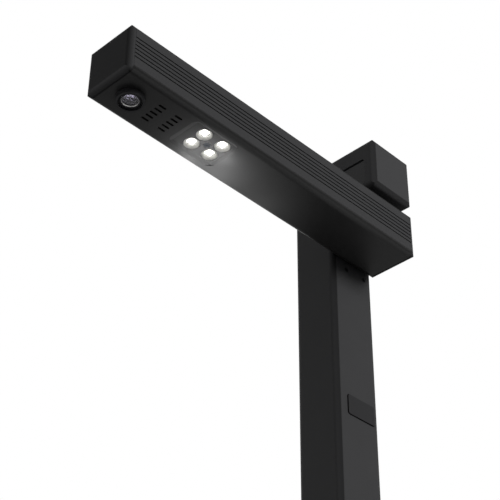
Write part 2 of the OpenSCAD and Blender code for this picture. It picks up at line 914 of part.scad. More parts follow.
module head_housing() {
    color("#2d2d2e")
    difference() {
        union() {
            difference() {
                translate([0, column_y, head_mid_z])
                    soft_block(pair_w, column_d, head_h, edge_r);
                translate([head_t - pair_w / 2, head_front_y + head_t, head_z + head_t])
                    cube([pair_w - 2 * head_t, column_d - head_t - rear_cover_t - rear_ledge_t,
                        head_h - 2 * head_t]);
            }
            // Frame that carries the window
            translate([0, (head_front_y + head_t / 2 + frame_back_y) / 2, window_z])
                cube([window_w + 2 * frame_w, frame_back_y - head_front_y - head_t / 2,
                    window_h + 2 * frame_w], center = true);
        }
        // Sunk window
        translate([0, window_y + window_t, window_z])
            rotate([90, 0, 0])
                linear_extrude(window_t + window_recess + over)
                    round_rect(window_w, window_h, window_r);
        // Way to see out behind the window
        translate([0, frame_back_y + over, window_z])
            rotate([90, 0, 0])
                linear_extrude(frame_back_y + 2 * over - window_y)
                    round_rect(window_w - 2 * window_ledge, window_h - 2 * window_ledge, window_r);
        // Opening for the rear cover
        translate([0, rear_y + over, head_mid_z])
            rotate([90, 0, 0])
                linear_extrude(rear_cover_t + over)
                    round_rect(pair_w - 2 * rear_rim, head_h - 2 * rear_rim, window_r);
        translate([0, rear_y + over, head_mid_z])
            rotate([90, 0, 0])
                linear_extrude(column_d / 2)
                    round_rect(pair_w - 2 * rear_rim - 2 * rear_ledge_w,
                        head_h - 2 * rear_rim - 2 * rear_ledge_w, window_r);
        translate([0, rear_y, head_mid_z])
            rotate([90, 0, 0])
                at_corners(cover_w - 2 * rear_screw_inset, cover_h - 2 * rear_screw_inset)
                    cylinder(h = column_d / 2, d = small_screw_d);
        // Pilot holes for the camera board
        translate([0, frame_back_y + over, window_z])
            rotate([90, 0, 0])
                portrait_screw_places()
                    cylinder(h = over + portrait_screw_l - board_t, d = portrait_screw_d);
        // Holes down into the plug
        translate([column_x, column_y, head_z - over])
            at_corners(head_screw_span_x, head_screw_span_y)
                cylinder(h = head_t + 2 * over, d = screw_hole_d);
        translate([harness_x, hinge_y, head_z - over])
            cylinder(h = head_t + 2 * over, d = cable_hole_d);
    }
}

module head_screws() {
    color("#b5b5b5")
    translate([column_x, column_y, head_z + head_t + screw_head_h])
        at_corners(head_screw_span_x, head_screw_span_y)
            mirror([0, 0, 1])
                socket_screw(screw_d, screw_head_d, screw_head_h, head_t + screw_head_h + plug_h / 3);
}

cover_w = pair_w - 2 * rear_rim - 2 * seam;
cover_h = head_h - 2 * rear_rim - 2 * seam;

module head_rear_cover() {
    color("#2a2a2b")
    difference() {
        translate([0, rear_y, head_mid_z])
            rotate([90, 0, 0])
                linear_extrude(rear_cover_t)
                    round_rect(cover_w, cover_h, window_r);
        translate([0, rear_y + over, head_mid_z])
            rotate([90, 0, 0])
                at_corners(cover_w - 2 * rear_screw_inset, cover_h - 2 * rear_screw_inset) {
                    cylinder(h = rear_cover_t + 2 * over, d = small_screw_d + 2 * fit);
                    cylinder(h = over + small_head_h, d = small_head_d + 2 * fit);
                }
    }
}

module rear_cover_screws() {
    color("#1b1b1c")
    translate([0, rear_y, head_mid_z])
        rotate([90, 0, 0])
            at_corners(cover_w - 2 * rear_screw_inset, cover_h - 2 * rear_screw_inset)
                socket_screw(small_screw_d, small_head_d, small_head_h, rear_cover_t + rear_ledge_t);
}

module head_window() {
    color("#1c1c1e")
    translate([0, window_y + window_t, window_z])
        rotate([90, 0, 0])
            linear_extrude(window_t)
                round_rect(window_w - 2 * fit, window_h - 2 * fit, window_r - fit);
}

portrait_board_y = frame_back_y;

// The board is screwed to the back of the window frame, outside the opening
module portrait_screw_places() {
    at_corners(window_w - 2 * portrait_screw_inset, window_h - 2 * portrait_screw_inset)
        children();
}

module portrait_board() {
    color("#1f5a35")
    difference() {
        translate([0, portrait_board_y + board_t / 2, window_z])
            cube([window_w, board_t, window_h], center = true);
        translate([0, portrait_board_y + board_t + over, window_z])
            rotate([90, 0, 0])
                portrait_screw_places()
                    cylinder(h = board_t + 2 * over, d = portrait_screw_d);
    }
}

module portrait_board_screws() {
    color("#b5b5b5")
    translate([0, portrait_board_y + board_t + portrait_screw_head_h, window_z])
        rotate([90, 0, 0])
            portrait_screw_places()
                socket_screw(portrait_screw_d, portrait_screw_head_d, portrait_screw_head_h,
                    portrait_screw_l + portrait_screw_head_h);
}

module portrait_lens() {
    color("#151516")
    translate([0, portrait_board_y, window_z])
        rotate([90, 0, 0])
            cylinder(h = portrait_board_y - window_y - window_t - portrait_gap, d = portrait_d);
}

// ARM

module arm_channel() {
    y0 = front_y + cap_l + seam;
    y1 = rear_y - cap_l - seam;
    rail_y1 = main_board_y + main_board_l / 2;
    color("#3d3d3e")
    difference() {
        union() {
            difference() {
                intersection() {
                    arm_form();
                    arm_slab(y0, y1, seam_z, arm_top_z + over);
                }
                arm_hollow(0, y0 - over, y1 + over);
            }
            // Rails that hold the main board by its edges
            for (sx = [-1, 1], sz = [-1, 1])
                translate([arm_x + sx * (arm_w / 2 - channel_t - rail_out / 2 + fit),
                    arm_mid_y, main_board_z + sz * (board_t + rail_h) / 2])
                    cube([rail_out + 2 * fit, y1 - y0 - 2 * cap_tongue_l - 2 * over, rail_h],
                        center = true);
        }
        for (i = [0 : groove_count - 1], sx = [-1, 1])
            translate([arm_x + sx * arm_w / 2, arm_mid_y, arm_top_z - groove_drop - i * groove_pitch])
                cube([2 * groove_depth, arm_l, groove_w], center = true);
        // Room for the camera board and the hub between the rails
        translate([arm_x, front_y, main_board_z])
            cube([arm_w - 2 * channel_t, 2 * (main_board_y - main_board_l / 2 - front_y),
                2 * board_t + 2 * rail_h], center = true);
        translate([arm_x, rear_y, main_board_z])
            cube([arm_w - 2 * channel_t, 2 * (rear_y - rail_y1), 2 * board_t + 2 * rail_h],
                center = true);
        // Holes for the shaft and the hub's screws
        translate([0, hinge_y, hinge_z])
            rod_x(arm_side_x - over, channel_inner_x + over, shaft_d + 2 * fit);
        for (sy = [-1, 1], sz = [-1, 1])
            translate([arm_side_x, hinge_y + sy * hub_screw_y, hinge_z + sz * hub_screw_z])
                rotate([0, 90, 0]) {
                    translate([0, 0, -over])
                        cylinder(h = channel_t + 2 * over, d = screw_hole_d);
                    cylinder(h = screw_head_h, d1 = screw_head_d, d2 = screw_hole_d);
                }
    }
}

lens_axis = [arm_x, front_y + lens_y];
lamp_axis = [arm_x + lamp_x, front_y + lamp_y];
cover_top_z = arm_clearance + floor_t;
neck_hole_d = collar_body_d + 2 * fit;
camera_board_z = arm_clearance - collar_proud + glass_recess + barrel_l + holder_h - holder_bore_l
    + sensor_t;
camera_post_h = camera_board_z - cover_top_z;

// The hollow of the sunk panel, with round corners and a sloped front
module sunk_panel() {
    mouth_w = panel_w + 2 * panel_side_slope;
    mouth_back = panel_back + panel_side_slope;
    translate([lamp_axis.x, lamp_axis.y, arm_clearance])
        intersection() {
            translate([0, (mouth_back - panel_front) / 2, -over])
                flat_plate(mouth_w, mouth_back + panel_front, panel_depth + over, panel_r);
            // Slopes at the front and back
            rotate([90, 0, 90])
                translate([0, 0, -mouth_w])
                    linear_extrude(2 * mouth_w)
                        polygon([[-panel_front, -over], [mouth_back, -over], [mouth_back, 0],
                            [panel_back, panel_depth], [panel_slope - panel_front, panel_depth],
                            [-panel_front, 0]]);
            // Slopes at the sides
            rotate([90, 0, 0])
                translate([0, 0, -2 * panel_front])
                    linear_extrude(4 * panel_front)
                        polygon([[-mouth_w / 2, -over], [mouth_w / 2, -over], [mouth_w / 2, 0],
                            [panel_w / 2, panel_depth], [-panel_w / 2, panel_depth], [-mouth_w / 2, 0]]);
        }
}

module arm_underside_cover() {
    y0 = front_y + cap_l + seam;
    y1 = rear_y - cap_l - seam;
    color("#2c2c2d")
    difference() {
        union() {
            difference() {
                intersection() {
                    arm_form();
                    arm_slab(y0, y1, arm_clearance - over, seam_z - seam);
                }
                translate([arm_side_x + channel_t + fit, y0 - over, cover_top_z])
                    cube([arm_w - 2 * channel_t - 2 * fit, y1 - y0 + 2 * over, arm_h]);
            }
            // Tongues that snap inside the channel
            for (sx = [-1, 1])
                translate([arm_x + sx * (arm_w / 2 - channel_t - fit - tongue_t / 2), arm_mid_y,
                    cover_top_z + (seam_z - cover_top_z + tongue_h) / 2 - seam])
                    cube([tongue_t, y1 - y0 - 2 * cap_tongue_l - 2 * over, seam_z - cover_top_z + tongue_h],
                        center = true);
            // Posts for the camera board
            translate([lens_axis.x, lens_axis.y, cover_top_z - floor_t / 2])
                at_corners(camera_post_x, camera_post_y)
                    cylinder(h = camera_post_h + floor_t / 2, d = camera_post_d);
        }
        // Hole for the lens
        translate([lens_axis.x, lens_axis.y, arm_clearance - over])
            cylinder(h = floor_t + 2 * over, d = neck_hole_d);
        // Pilot holes for the camera board
        translate([lens_axis.x, lens_axis.y, cover_top_z])
            at_corners(camera_post_x, camera_post_y)
                cylinder(h = camera_post_h + over, d = small_screw_d - 2 * fit);
        // Two groups of slots
        for (g = [0, 1], i = [0 : slot_count - 1])
            translate([arm_x + (i - (slot_count - 1) / 2) * slot_pitch,
                front_y + slot_y + g * slot_group_pitch, arm_clearance - over])
                linear_extrude(floor_t + 2 * over)
                    round_rect(slot_w, slot_l, slot_w * round_end_share);
        // Sunk panel with the cup holes and the screw hole
        sunk_panel();
        translate([lamp_axis.x, lamp_axis.y, arm_clearance]) {
            at_corners(lamp_pitch_x, lamp_pitch_y)
                cylinder(h = floor_t + over, d = cup_d + 2 * fit);
            cylinder(h = floor_t + over, d = lamp_screw_d + 2 * fit);
            cylinder(h = panel_depth + lamp_screw_head_h, d = lamp_screw_head_d + 2 * fit);
        }
    }
}

// One end cap, at the end given by its outer plane and the side it looks to
module arm_cap(end_y, side) {
    lip_y = end_y - side * cap_l;
    tongue_y = lip_y - side * cap_tongue_l;
    in_w = arm_w - 2 * channel_t - 2 * fit;
    low_z = cover_top_z + fit;
    high_z = arm_top_z - channel_t - fit;
    difference() {
        union() {
            intersection() {
                arm_form();
                arm_slab(min(end_y + side * over, lip_y), max(end_y + side * over, lip_y),
                    arm_clearance - over, arm_top_z + over);
            }
            translate([arm_x, (lip_y + tongue_y) / 2, (low_z + high_z) / 2])
                cube([in_w, cap_tongue_l, high_z - low_z], center = true);
        }
        translate([arm_x, (lip_y + side * cap_l / 4 + tongue_y - side * over) / 2, (low_z + high_z) / 2])
            cube([in_w - 2 * tongue_t, cap_tongue_l + cap_l / 4 + over, high_z - low_z - 2 * tongue_t],
                center = true);
    }
}

module arm_front_cap() {
    color("#262627")
    difference() {
        arm_cap(front_y, -1);
        // Room for the camera board and its posts
        translate([lens_axis.x, lens_axis.y, cover_top_z - over])
            flat_plate(camera_board_w, camera_board_l + 2 * fit, arm_h - channel_t - floor_t - tongue_t,
                edge_r / 2);
    }
}

module arm_rear_cap() {
    color("#333334")
    difference() {
        arm_cap(rear_y, 1);
        // Room for the hub
        translate([channel_inner_x - over, hinge_y - hub_w, hinge_z - hub_h / 2 - fit])
            cube([over + hub_l + fit, hub_w * 3 / 2 + fit, hub_h + 2 * fit]);
    }
}

// SCAN CAMERA

module lens_collar() {
    color("#1e1e1f")
    translate([lens_axis.x, lens_axis.y, arm_clearance - collar_proud])
        difference() {
            union() {
                cylinder(h = collar_proud, d = collar_d);
                cylinder(h = collar_proud + floor_t + collar_inside_l, d = collar_body_d);
            }
            translate([0, 0, -over])
                cylinder(h = over + collar_step, d = collar_d - 2 * collar_lip);
            translate([0, 0, -over])
                cylinder(h = collar_proud + floor_t + collar_inside_l + 2 * over, d = barrel_d + 2 * fit);
        }
}

barrel_z = arm_clearance - collar_proud + collar_step;

module lens_barrel() {
    glass_z = arm_clearance - collar_proud + glass_recess;
    color("#2a2a2c")
    translate([lens_axis.x, lens_axis.y, barrel_z])
        difference() {
            cylinder(h = barrel_l, d = barrel_d);
            translate([0, 0, -over])
                cylinder(h = glass_z - barrel_z + glass_t + over, d = glass_d + 2 * fit);
            cylinder(h = barrel_l + over, d = glass_d - 2 * barrel_lip);
        }
}

// Front glass with a gentle dome
module lens_glass() {
    glass_z = arm_clearance - collar_proud + glass_recess;
    dome_r = glass_d;
    dome_h = dome_r - sqrt(dome_r * dome_r - glass_d * glass_d / 4);
    color("#55555f")
    translate([lens_axis.x, lens_axis.y, glass_z])
        union() {
            cylinder(h = glass_t, d = glass_d);
            intersection() {
                translate([0, 0, dome_r - dome_h / 2])
                    sphere(r = dome_r);
                translate([0, 0, -dome_h])
                    cylinder(h = dome_h + glass_t / 2, d = glass_d);
            }
        }
}

module lens_holder() {
    holder_z = barrel_z + barrel_l - holder_bore_l;
    color("#222224")
    translate([lens_axis.x, lens_axis.y, holder_z])
        difference() {
            block(holder_w, holder_w, camera_board_z - holder_z);
            translate([0, 0, -over])
                cylinder(h = holder_bore_l + over, d = barrel_d);
            cylinder(h = camera_board_z - holder_z + over, d = glass_d - 2 * barrel_lip);
        }
}

module image_sensor() {
    color("#3a4a55")
    translate([lens_axis.x, lens_axis.y, camera_board_z - sensor_t])
        block(sensor_w, sensor_w, sensor_t);
}

module camera_board() {
    color("#1f5a35")
    translate([lens_axis.x, lens_axis.y, camera_board_z])
        difference() {
            block(camera_board_w - 2 * tongue_t, camera_board_l, board_t);
            translate([0, 0, -over])
                at_corners(camera_post_x, camera_post_y)
                    cylinder(h = board_t + 2 * over, d = small_screw_d + 2 * fit);
        }
}

module camera_board_screws() {
    color("#b5b5b5")
    translate([lens_axis.x, lens_axis.y, camera_board_z + board_t + small_head_h])
        at_corners(camera_post_x, camera_post_y)
            mirror([0, 0, 1])
                socket_screw(small_screw_d - 2 * fit, small_head_d, small_head_h,
                    board_t + small_head_h + camera_post_h / 2);
}

// Microphone and speaker unit over the slots
module voice_module() {
    color("#3c3c3f")
    translate([arm_x, front_y + slot_y + slot_group_pitch / 2, cover_top_z])
        difference() {
            block(voice_w, voice_l, voice_t);
            for (g = [-1, 1])
                translate([0, g * slot_group_pitch / 2, -over])
                    block(slot_count * slot_pitch, slot_l + 2 * slot_w, voice_t / 2 + over);
        }
}

// LAMPS

module lamp_reflector() {
    color("#d9d9d6")
    translate([lamp_axis.x, lamp_axis.y, arm_clearance])
        difference() {
            union() {
                translate([arm_x - lamp_axis.x, 0, floor_t])
                    block(reflector_w, reflector_l, reflector_t);
                translate([0, 0, panel_depth])
                    at_corners(lamp_pitch_x, lamp_pitch_y)
                        cylinder(h = floor_t - panel_depth + reflector_t / 2, d = cup_d);
            }
            translate([0, 0, panel_depth])
                at_corners(lamp_pitch_x, lamp_pitch_y) {
                    cylinder(h = chip_recess, d1 = cup_d - 2 * fit, d2 = cup_inner_d);
                    cylinder(h = floor_t + reflector_t, d = cup_inner_d);
                }
            cylinder(h = floor_t + reflector_t + over, d = lamp_screw_d + 2 * fit);
        }
}

lamp_board_z = cover_top_z + reflector_t;

module lamp_chips() {
    chip_z = arm_clearance + panel_depth + chip_recess;
    color("#fffbe8")
    translate([lamp_axis.x, lamp_axis.y, chip_z])
        at_corners(lamp_pitch_x, lamp_pitch_y)
            block(chip_w, chip_w, lamp_board_z - chip_z);
}

module lamp_board() {
    color("#d0d3d6")
    translate([arm_x, lamp_axis.y, lamp_board_z])
        difference() {
            block(lamp_board_w, lamp_board_l, board_t);
            translate([lamp_x, 0, -over])
                cylinder(h = board_t + 2 * over, d = lamp_screw_d + 2 * fit);
        }
}

module lamp_heat_spreader() {
    color("#a9abad")
    translate([arm_x, lamp_axis.y, lamp_board_z + board_t])
        difference() {
            union() {
                block(lamp_board_w, lamp_board_l, spreader_t);
                for (i = [0 : fin_count - 1])
                    translate([(i / (fin_count - 1) - 1 / 2) * (lamp_board_w - fin_t), 0, spreader_t / 2])
                        block(fin_t, lamp_board_l, fin_h + spreader_t / 2);
            }
            translate([lamp_x, 0, -over])
                cylinder(h = spreader_t + over, d = lamp_screw_d);
        }
}

module lamp_screw() {
    color("#3a3a3c")
    translate([lamp_axis.x, lamp_axis.y, arm_clearance + panel_depth])
        socket_screw(lamp_screw_d, lamp_screw_head_d, lamp_screw_head_h,
            floor_t - panel_depth + reflector_t + board_t + spreader_t);
}

// MAIN BOARD AND WIRES IN THE ARM

module arm_main_board() {
    color("#1f5a35")
    translate([arm_x, main_board_y, main_board_z - board_t / 2])
        block(main_board_w, main_board_l, board_t);
}

module main_board_chips() {
    color("#1a1a1b")
    translate([arm_x, main_board_y, main_board_z + board_t / 2]) {
        translate([0, -main_board_l / 4, 0])
            block(main_board_w / 2, main_board_w / 2, mb_chip_h);
        translate([0, main_board_l / 8, 0])
            block(main_board_w / 3, main_board_w / 3, mb_chip_h);
        translate([0, main_board_l * 3 / 8, 0])
            block(main_board_w / 2, main_board_w / 4, mb_chip_h * 2);
    }
}

module arm_harness() {
    run_x = channel_inner_x + hub_l + harness_gap + harness_d / 2;
    run_y = main_board_y + main_board_l / 2 - main_board_w / 4;
    run_z = hinge_z;
    color("#3a3a3d")
    union() {
        translate([run_x, run_y, run_z])
            rotate([-90, 0, 0])
                cylinder(h = hinge_y - run_y, d = harness_d);
        translate([run_x, hinge_y, run_z])
            sphere(d = harness_d);
        translate([0, hinge_y, run_z])
            rod_x(shaft_end_x + harness_gap / 2, run_x, harness_d);
    }
}

base_cover();
base_plate();
base_feet();
base_screws();
io_board();
board_posts();
usb_socket();
column_foot();
column_foot_bolts();
column_tube();
column_harness();
side_button();
switch_plunger();
switch_case();
switch_board();
switch_bracket();
hinge_bracket();
bracket_screws();
hinge_bushes();
side_washer();
friction_ring();
hinge_shaft();
friction_disc();
spring_washers();
hinge_nut();
head_plug();
head_plug_screws();
head_screws();
head_housing();
head_rear_cover();
rear_cover_screws();
head_window();
portrait_board();
portrait_board_screws();
portrait_lens();
arm_channel();
arm_underside_cover();
arm_front_cap();
arm_rear_cap();
lens_collar();
lens_barrel();
lens_glass();
lens_holder();
camera_board();
camera_board_screws();
image_sensor();
voice_module();
lamp_reflector();
lamp_board();
lamp_chips();
lamp_heat_spreader();
lamp_screw();
arm_main_board();
main_board_chips();
hinge_hub();
hub_screws();
arm_harness();
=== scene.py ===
"""Overhead document scanner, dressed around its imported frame.

The frame's solids keep their places. This script gives each one the finish of the real material, and
builds the fine forms that only the eye needs: lens elements, light chips, feet and socket contacts.
Lengths are in metres in the frame and in millimetres in the named values that end in _MM.
"""

import math

import bmesh
import bpy
from mathutils import Matrix, Vector


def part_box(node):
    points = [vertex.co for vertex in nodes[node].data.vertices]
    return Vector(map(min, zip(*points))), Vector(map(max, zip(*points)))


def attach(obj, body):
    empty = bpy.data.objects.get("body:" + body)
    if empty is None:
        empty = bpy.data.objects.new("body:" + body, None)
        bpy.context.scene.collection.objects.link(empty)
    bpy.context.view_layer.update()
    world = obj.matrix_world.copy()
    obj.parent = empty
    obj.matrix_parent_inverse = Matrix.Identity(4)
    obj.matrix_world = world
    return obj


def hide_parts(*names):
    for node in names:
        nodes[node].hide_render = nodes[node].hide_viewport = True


MM = 0.001

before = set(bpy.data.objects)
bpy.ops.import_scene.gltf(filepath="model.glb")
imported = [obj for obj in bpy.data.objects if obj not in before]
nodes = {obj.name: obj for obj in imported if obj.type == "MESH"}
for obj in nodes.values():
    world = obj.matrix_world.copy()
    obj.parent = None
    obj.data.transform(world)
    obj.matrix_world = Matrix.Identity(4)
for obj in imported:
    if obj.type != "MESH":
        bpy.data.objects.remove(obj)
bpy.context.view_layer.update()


# Camera
# The photograph was taken from low down, in front and to the right of the arm's front end.
# The place is given from the corner of the arm where its front, left and lower faces meet.

CAMERA_AZIMUTH = math.radians(44.57)
CAMERA_ELEVATION = math.radians(-35.68)
CAMERA_ROLL = math.radians(0.56)
CAMERA_LENS_MM = 97.65
CAMERA_SENSOR_MM = 36
CAMERA_FROM_CORNER_MM = (504.6, -367.7, -555.0)
CAMERA_NEAR = 0.01
CAMERA_FAR = 20

arm_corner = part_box("arm_front_cap")[0]


def place_camera():
    """Makes the camera and points it as the photograph's was."""
    data = bpy.data.cameras.new("photo_camera")
    data.sensor_width = CAMERA_SENSOR_MM
    data.lens = CAMERA_LENS_MM
    data.clip_start = CAMERA_NEAR
    data.clip_end = CAMERA_FAR
    camera = bpy.data.objects.new("photo_camera", data)
    bpy.context.scene.collection.objects.link(camera)
    level = math.cos(CAMERA_ELEVATION)
    back = Vector((
        math.sin(CAMERA_AZIMUTH) * level,
        -math.cos(CAMERA_AZIMUTH) * level,
        math.sin(CAMERA_ELEVATION),
    ))
    right = (-back).cross(Vector((0, 0, 1))).normalized()
    up = back.cross(right)
    turned_right = right * math.cos(CAMERA_ROLL) + up * math.sin(CAMERA_ROLL)
    turned_up = back.cross(turned_right)
    turn = Matrix((turned_right, turned_up, back)).transposed().to_4x4()
    camera.matrix_world = Matrix.Translation(arm_corner + Vector(CAMERA_FROM_CORNER_MM) * MM) @ turn
    bpy.context.scene.camera = camera


place_camera()


# Feet
# Four discs of black rubber, moulded with a rounded lower edge and two grip rings, and glued to the
# base plate. Each fills the disc that the frame holds there.

RUBBER_COLOUR = "#1a1a1a"
RUBBER_BLOOM_COLOUR = "#262626"
RUBBER_BLOOM_MM = 1.1
RUBBER_BLOOM_DETAIL = 5.0
RUBBER_ROUGHNESS = 0.85
FOOT_EDGE_MM = 0.5
FOOT_EDGE_STEPS = 4
FOOT_RING_SHARES = (0.45, 0.72)
FOOT_RING_WIDTH_MM = 0.8
FOOT_RING_DEPTH_MM = 0.4
LATHE_STEPS = 96
SHARP_DEGREES = 35
SAME_POINT = 1e-6
SEAM_POINT = 1e-7
PLACE_DIGITS = 5


def linear(code):
    """The linear colour of an sRGB hex code, with alpha."""
    parts = [int(code[i:i + 2], 16) / 255 for i in (1, 3, 5)]
    return [p / 12.92 if p <= 0.04045 else ((p + 0.055) / 1.055) ** 2.4 for p in parts] + [1.0]


def add_node(tree, kind, inputs, **settings):
    """Adds a node, sets its settings, and sets or links its inputs."""
    node = tree.nodes.new(kind)
    for name, value in settings.items():
        setattr(node, name, value)
    for name, value in inputs.items():
        if isinstance(value, bpy.types.NodeSocket):
            tree.links.new(value, node.inputs[name])
        else:
            node.inputs[name].default_value = value
    return node


def new_material(name):
    """An empty material, its node tree and the place that every grain in it is measured from."""
    material = bpy.data.materials.new(name)
    material.use_nodes = True
    tree = material.node_tree
    tree.nodes.clear()
    place = add_node(tree, "ShaderNodeTexCoord", {}).outputs["Object"]
    return material, tree, place


def close_material(tree, shader):
    """Sends the shader to the surface."""
    add_node(tree, "ShaderNodeOutputMaterial", {"Surface": shader})


def finish_shape(name, shape):
    """Turns a bmesh into a linked object, smooth but for its sharp edges."""
    mesh = bpy.data.meshes.new(name)
    shape.to_mesh(mesh)
    shape.free()
    mesh.shade_smooth()
    mesh.set_sharp_from_angle(angle=math.radians(SHARP_DEGREES))
    piece = bpy.data.objects.new(name, mesh)
    bpy.context.scene.collection.objects.link(piece)
    return piece


def lathe(name, outline, centre, closed):
    """A piece turned from (radius, height) points about the upright axis through centre."""
    shape = bmesh.new()
    rings = []
    for step in range(LATHE_STEPS):
        angle = 2 * math.pi * step / LATHE_STEPS
        rings.append([
            shape.verts.new((centre.x + r * math.cos(angle), centre.y + r * math.sin(angle), z))
            for r, z in outline
        ])
    pairs = len(outline) if closed else len(outline) - 1
    for step in range(LATHE_STEPS):
        ring = rings[step]
        other = rings[(step + 1) % LATHE_STEPS]
        for i in range(pairs):
            j = (i + 1) % len(outline)
            shape.faces.new((ring[i], other[i], other[j], ring[j]))
    bmesh.ops.remove_doubles(shape, verts=shape.verts, dist=SEAM_POINT)
    bmesh.ops.recalc_face_normals(shape, faces=shape.faces)
    return finish_shape(name, shape)


def solids_of(name):
    """The boxes of the separate solids in a frame node, as (low, high) corners."""
    shape = bmesh.new()
    shape.from_mesh(nodes[name].data)
    bmesh.ops.remove_doubles(shape, verts=shape.verts, dist=SAME_POINT)
    waiting = set(shape.verts)
    boxes = []
    while waiting:
        group = {waiting.pop()}
        edge = list(group)
        while edge:
            vert = edge.pop()
            for link in vert.link_edges:
                other = link.other_vert(vert)
                if other in waiting:
                    waiting.discard(other)
                    group.add(other)
                    edge.append(other)
        low = Vector([min(v.co[i] for v in group) for i in range(3)])
        high = Vector([max(v.co[i] for v in group) for i in range(3)])
        boxes.append((low, high))
    shape.free()
    return sorted(boxes, key=lambda pair: tuple(round(x, PLACE_DIGITS) for x in pair[0]))


def seat(piece, material, body, slot, *replaced):
    """Gives a new piece its finish, the body that it rides on and the nodes that it stands for."""
    piece.data.materials.append(material)
    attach(piece, body)
    if replaced:
        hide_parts(*replaced)


def foot_rubber():
    """Dull black rubber with a bloom of dust in its grain."""
    material, tree, place = new_material("foot_rubber")
    bloom = add_node(tree, "ShaderNodeTexNoise", {
        "Vector": place, "Scale": 1 / (RUBBER_BLOOM_MM * MM), "Detail": RUBBER_BLOOM_DETAIL})
    colour = add_node(tree, "ShaderNodeMixRGB", {
        "Fac": bloom.outputs["Fac"], "Color1": linear(RUBBER_COLOUR),
        "Color2": linear(RUBBER_BLOOM_COLOUR)})
    shader = add_node(tree, "ShaderNodeBsdfPrincipled", {
        "Base Color": colour.outputs["Color"], "Roughness": RUBBER_ROUGHNESS})
    close_material(tree, shader.outputs["BSDF"])
    return material


def moulded_foot(index, low, high):
    """One foot, with a soft lower edge and ring grooves in its sole."""
    r = (high.x - low.x) / 2
    edge = FOOT_EDGE_MM * MM
    width = FOOT_RING_WIDTH_MM * MM
    groove_z = low.z + FOOT_RING_DEPTH_MM * MM
    outline = [(0.0, low.z)]
    for share in FOOT_RING_SHARES:
        at = r * share
        outline += [(at - width, low.z), (at - width / 2, groove_z),
                    (at + width / 2, groove_z), (at + width, low.z)]
    for i in range(FOOT_EDGE_STEPS + 1):
        turn = math.pi / 2 * i / FOOT_EDGE_STEPS
        outline.append((r - edge + edge * math.sin(turn), low.z + edge - edge * math.cos(turn)))
    outline += [(r, high.z), (0.0, high.z)]
    return lathe(f"foot_{index}", outline, (low + high) / 2, closed=False)


rubber = foot_rubber()
for index, (low, high) in enumerate(solids_of("base_feet")):
    seat(moulded_foot(index, low, high), rubber, "stand", "foot_rubber",
         *(["base_feet"] if index == 0 else []))


# Base plate
# A steel plate that weighs the base down, cut by laser and zinc plated, held in the cover by four
# countersunk screws. The plating is a cool grey whose small crystals break the shine.

# Colour, roughness, and the width in mm of the grain that the making left
ZINC_PLATE = ("#a9adb3", 0.38, 1.2)
METAL_GRAIN_DETAIL = 4.0
METAL_SHEEN = (0.8, 1.2)
METAL_RELIEF_MM = 0.02
METAL_RELIEF_SHARE = 0.2


def worked_metal(name, colour_code, roughness, grain_mm):
    """Bare metal whose shine varies over the grain that its making left."""
    material, tree, place = new_material(name)
    grain = add_node(tree, "ShaderNodeTexNoise", {
        "Vector": place, "Scale": 1 / (grain_mm * MM), "Detail": METAL_GRAIN_DETAIL})
    sheen = add_node(tree, "ShaderNodeMapRange", {
        "Value": grain.outputs["Fac"], "To Min": roughness * METAL_SHEEN[0],
        "To Max": roughness * METAL_SHEEN[1]})
    relief = add_node(tree, "ShaderNodeBump", {
        "Height": grain.outputs["Fac"], "Strength": METAL_RELIEF_SHARE, "Distance": METAL_RELIEF_MM * MM})
    shader = add_node(tree, "ShaderNodeBsdfPrincipled", {
        "Base Color": linear(colour_code), "Metallic": 1.0, "Roughness": sheen.outputs["Result"],
        "Normal": relief.outputs["Normal"]})
    close_material(tree, shader.outputs["BSDF"])
    return material


def dress(material, *names):
    """Puts the material in every slot of these frame nodes."""
    for name in names:
        for material_slot in nodes[name].material_slots:
            material_slot.material = material


zinc_plate = worked_metal("zinc_plated_steel", *ZINC_PLATE)
dress(zinc_plate, "base_plate", "base_screws")


# Base cover
# Injection moulded in ABS from a tool with a spark-eroded face, with bosses for the four screws. The
# fine dense pits take the shine off the charcoal plastic.

# Colour, its flow, roughness, gloss, and the share of painted shade on round edges
BASE_ABS = ("#343435", "#303031", 0.5, 0.2, 0.4)
# The real pits are about 0.05 mm wide, and are drawn coarser so that they show
MOULD_GRAIN_MM = 0.18
MOULD_RELIEF_MM = 0.015
MOULD_RELIEF_SHARE = 0.5
MOULD_FLOW_MM = 55
MOULD_FLOW_DETAIL = 3.0
MOULD_SHEEN_SPREAD = 0.1
# Painted shade on round edges: the facing over which it deepens, where it stops, and its colour
EDGE_TURN = (0.45, 0.95)
EDGE_END = 0.985
EDGE_SHADE_COLOUR = "#000000"


def painted_edge_shade(tree, colour, share, turn=EDGE_TURN):
    """The colour with painted shade: darker on the round edges of the side faces."""
    facing = add_node(tree, "ShaderNodeNewGeometry", {})
    parts = add_node(tree, "ShaderNodeSeparateXYZ", {"Vector": facing.outputs["Normal"]})
    sideways = add_node(tree, "ShaderNodeMath", {0: parts.outputs["X"]}, operation="ABSOLUTE")
    turned = add_node(tree, "ShaderNodeMapRange", {
        "Value": sideways.outputs["Value"], "From Min": turn[0], "From Max": turn[1],
        "To Max": share})
    on_edge = add_node(tree, "ShaderNodeMath", {0: sideways.outputs["Value"], 1: EDGE_END},
                       operation="LESS_THAN")
    painted_shade = add_node(tree, "ShaderNodeMath", {
        0: turned.outputs["Result"], 1: on_edge.outputs["Value"]}, operation="MULTIPLY")
    return add_node(tree, "ShaderNodeMixRGB", {
        "Fac": painted_shade.outputs["Value"], "Color1": colour, "Color2": linear(EDGE_SHADE_COLOUR)},
        ).outputs["Color"]


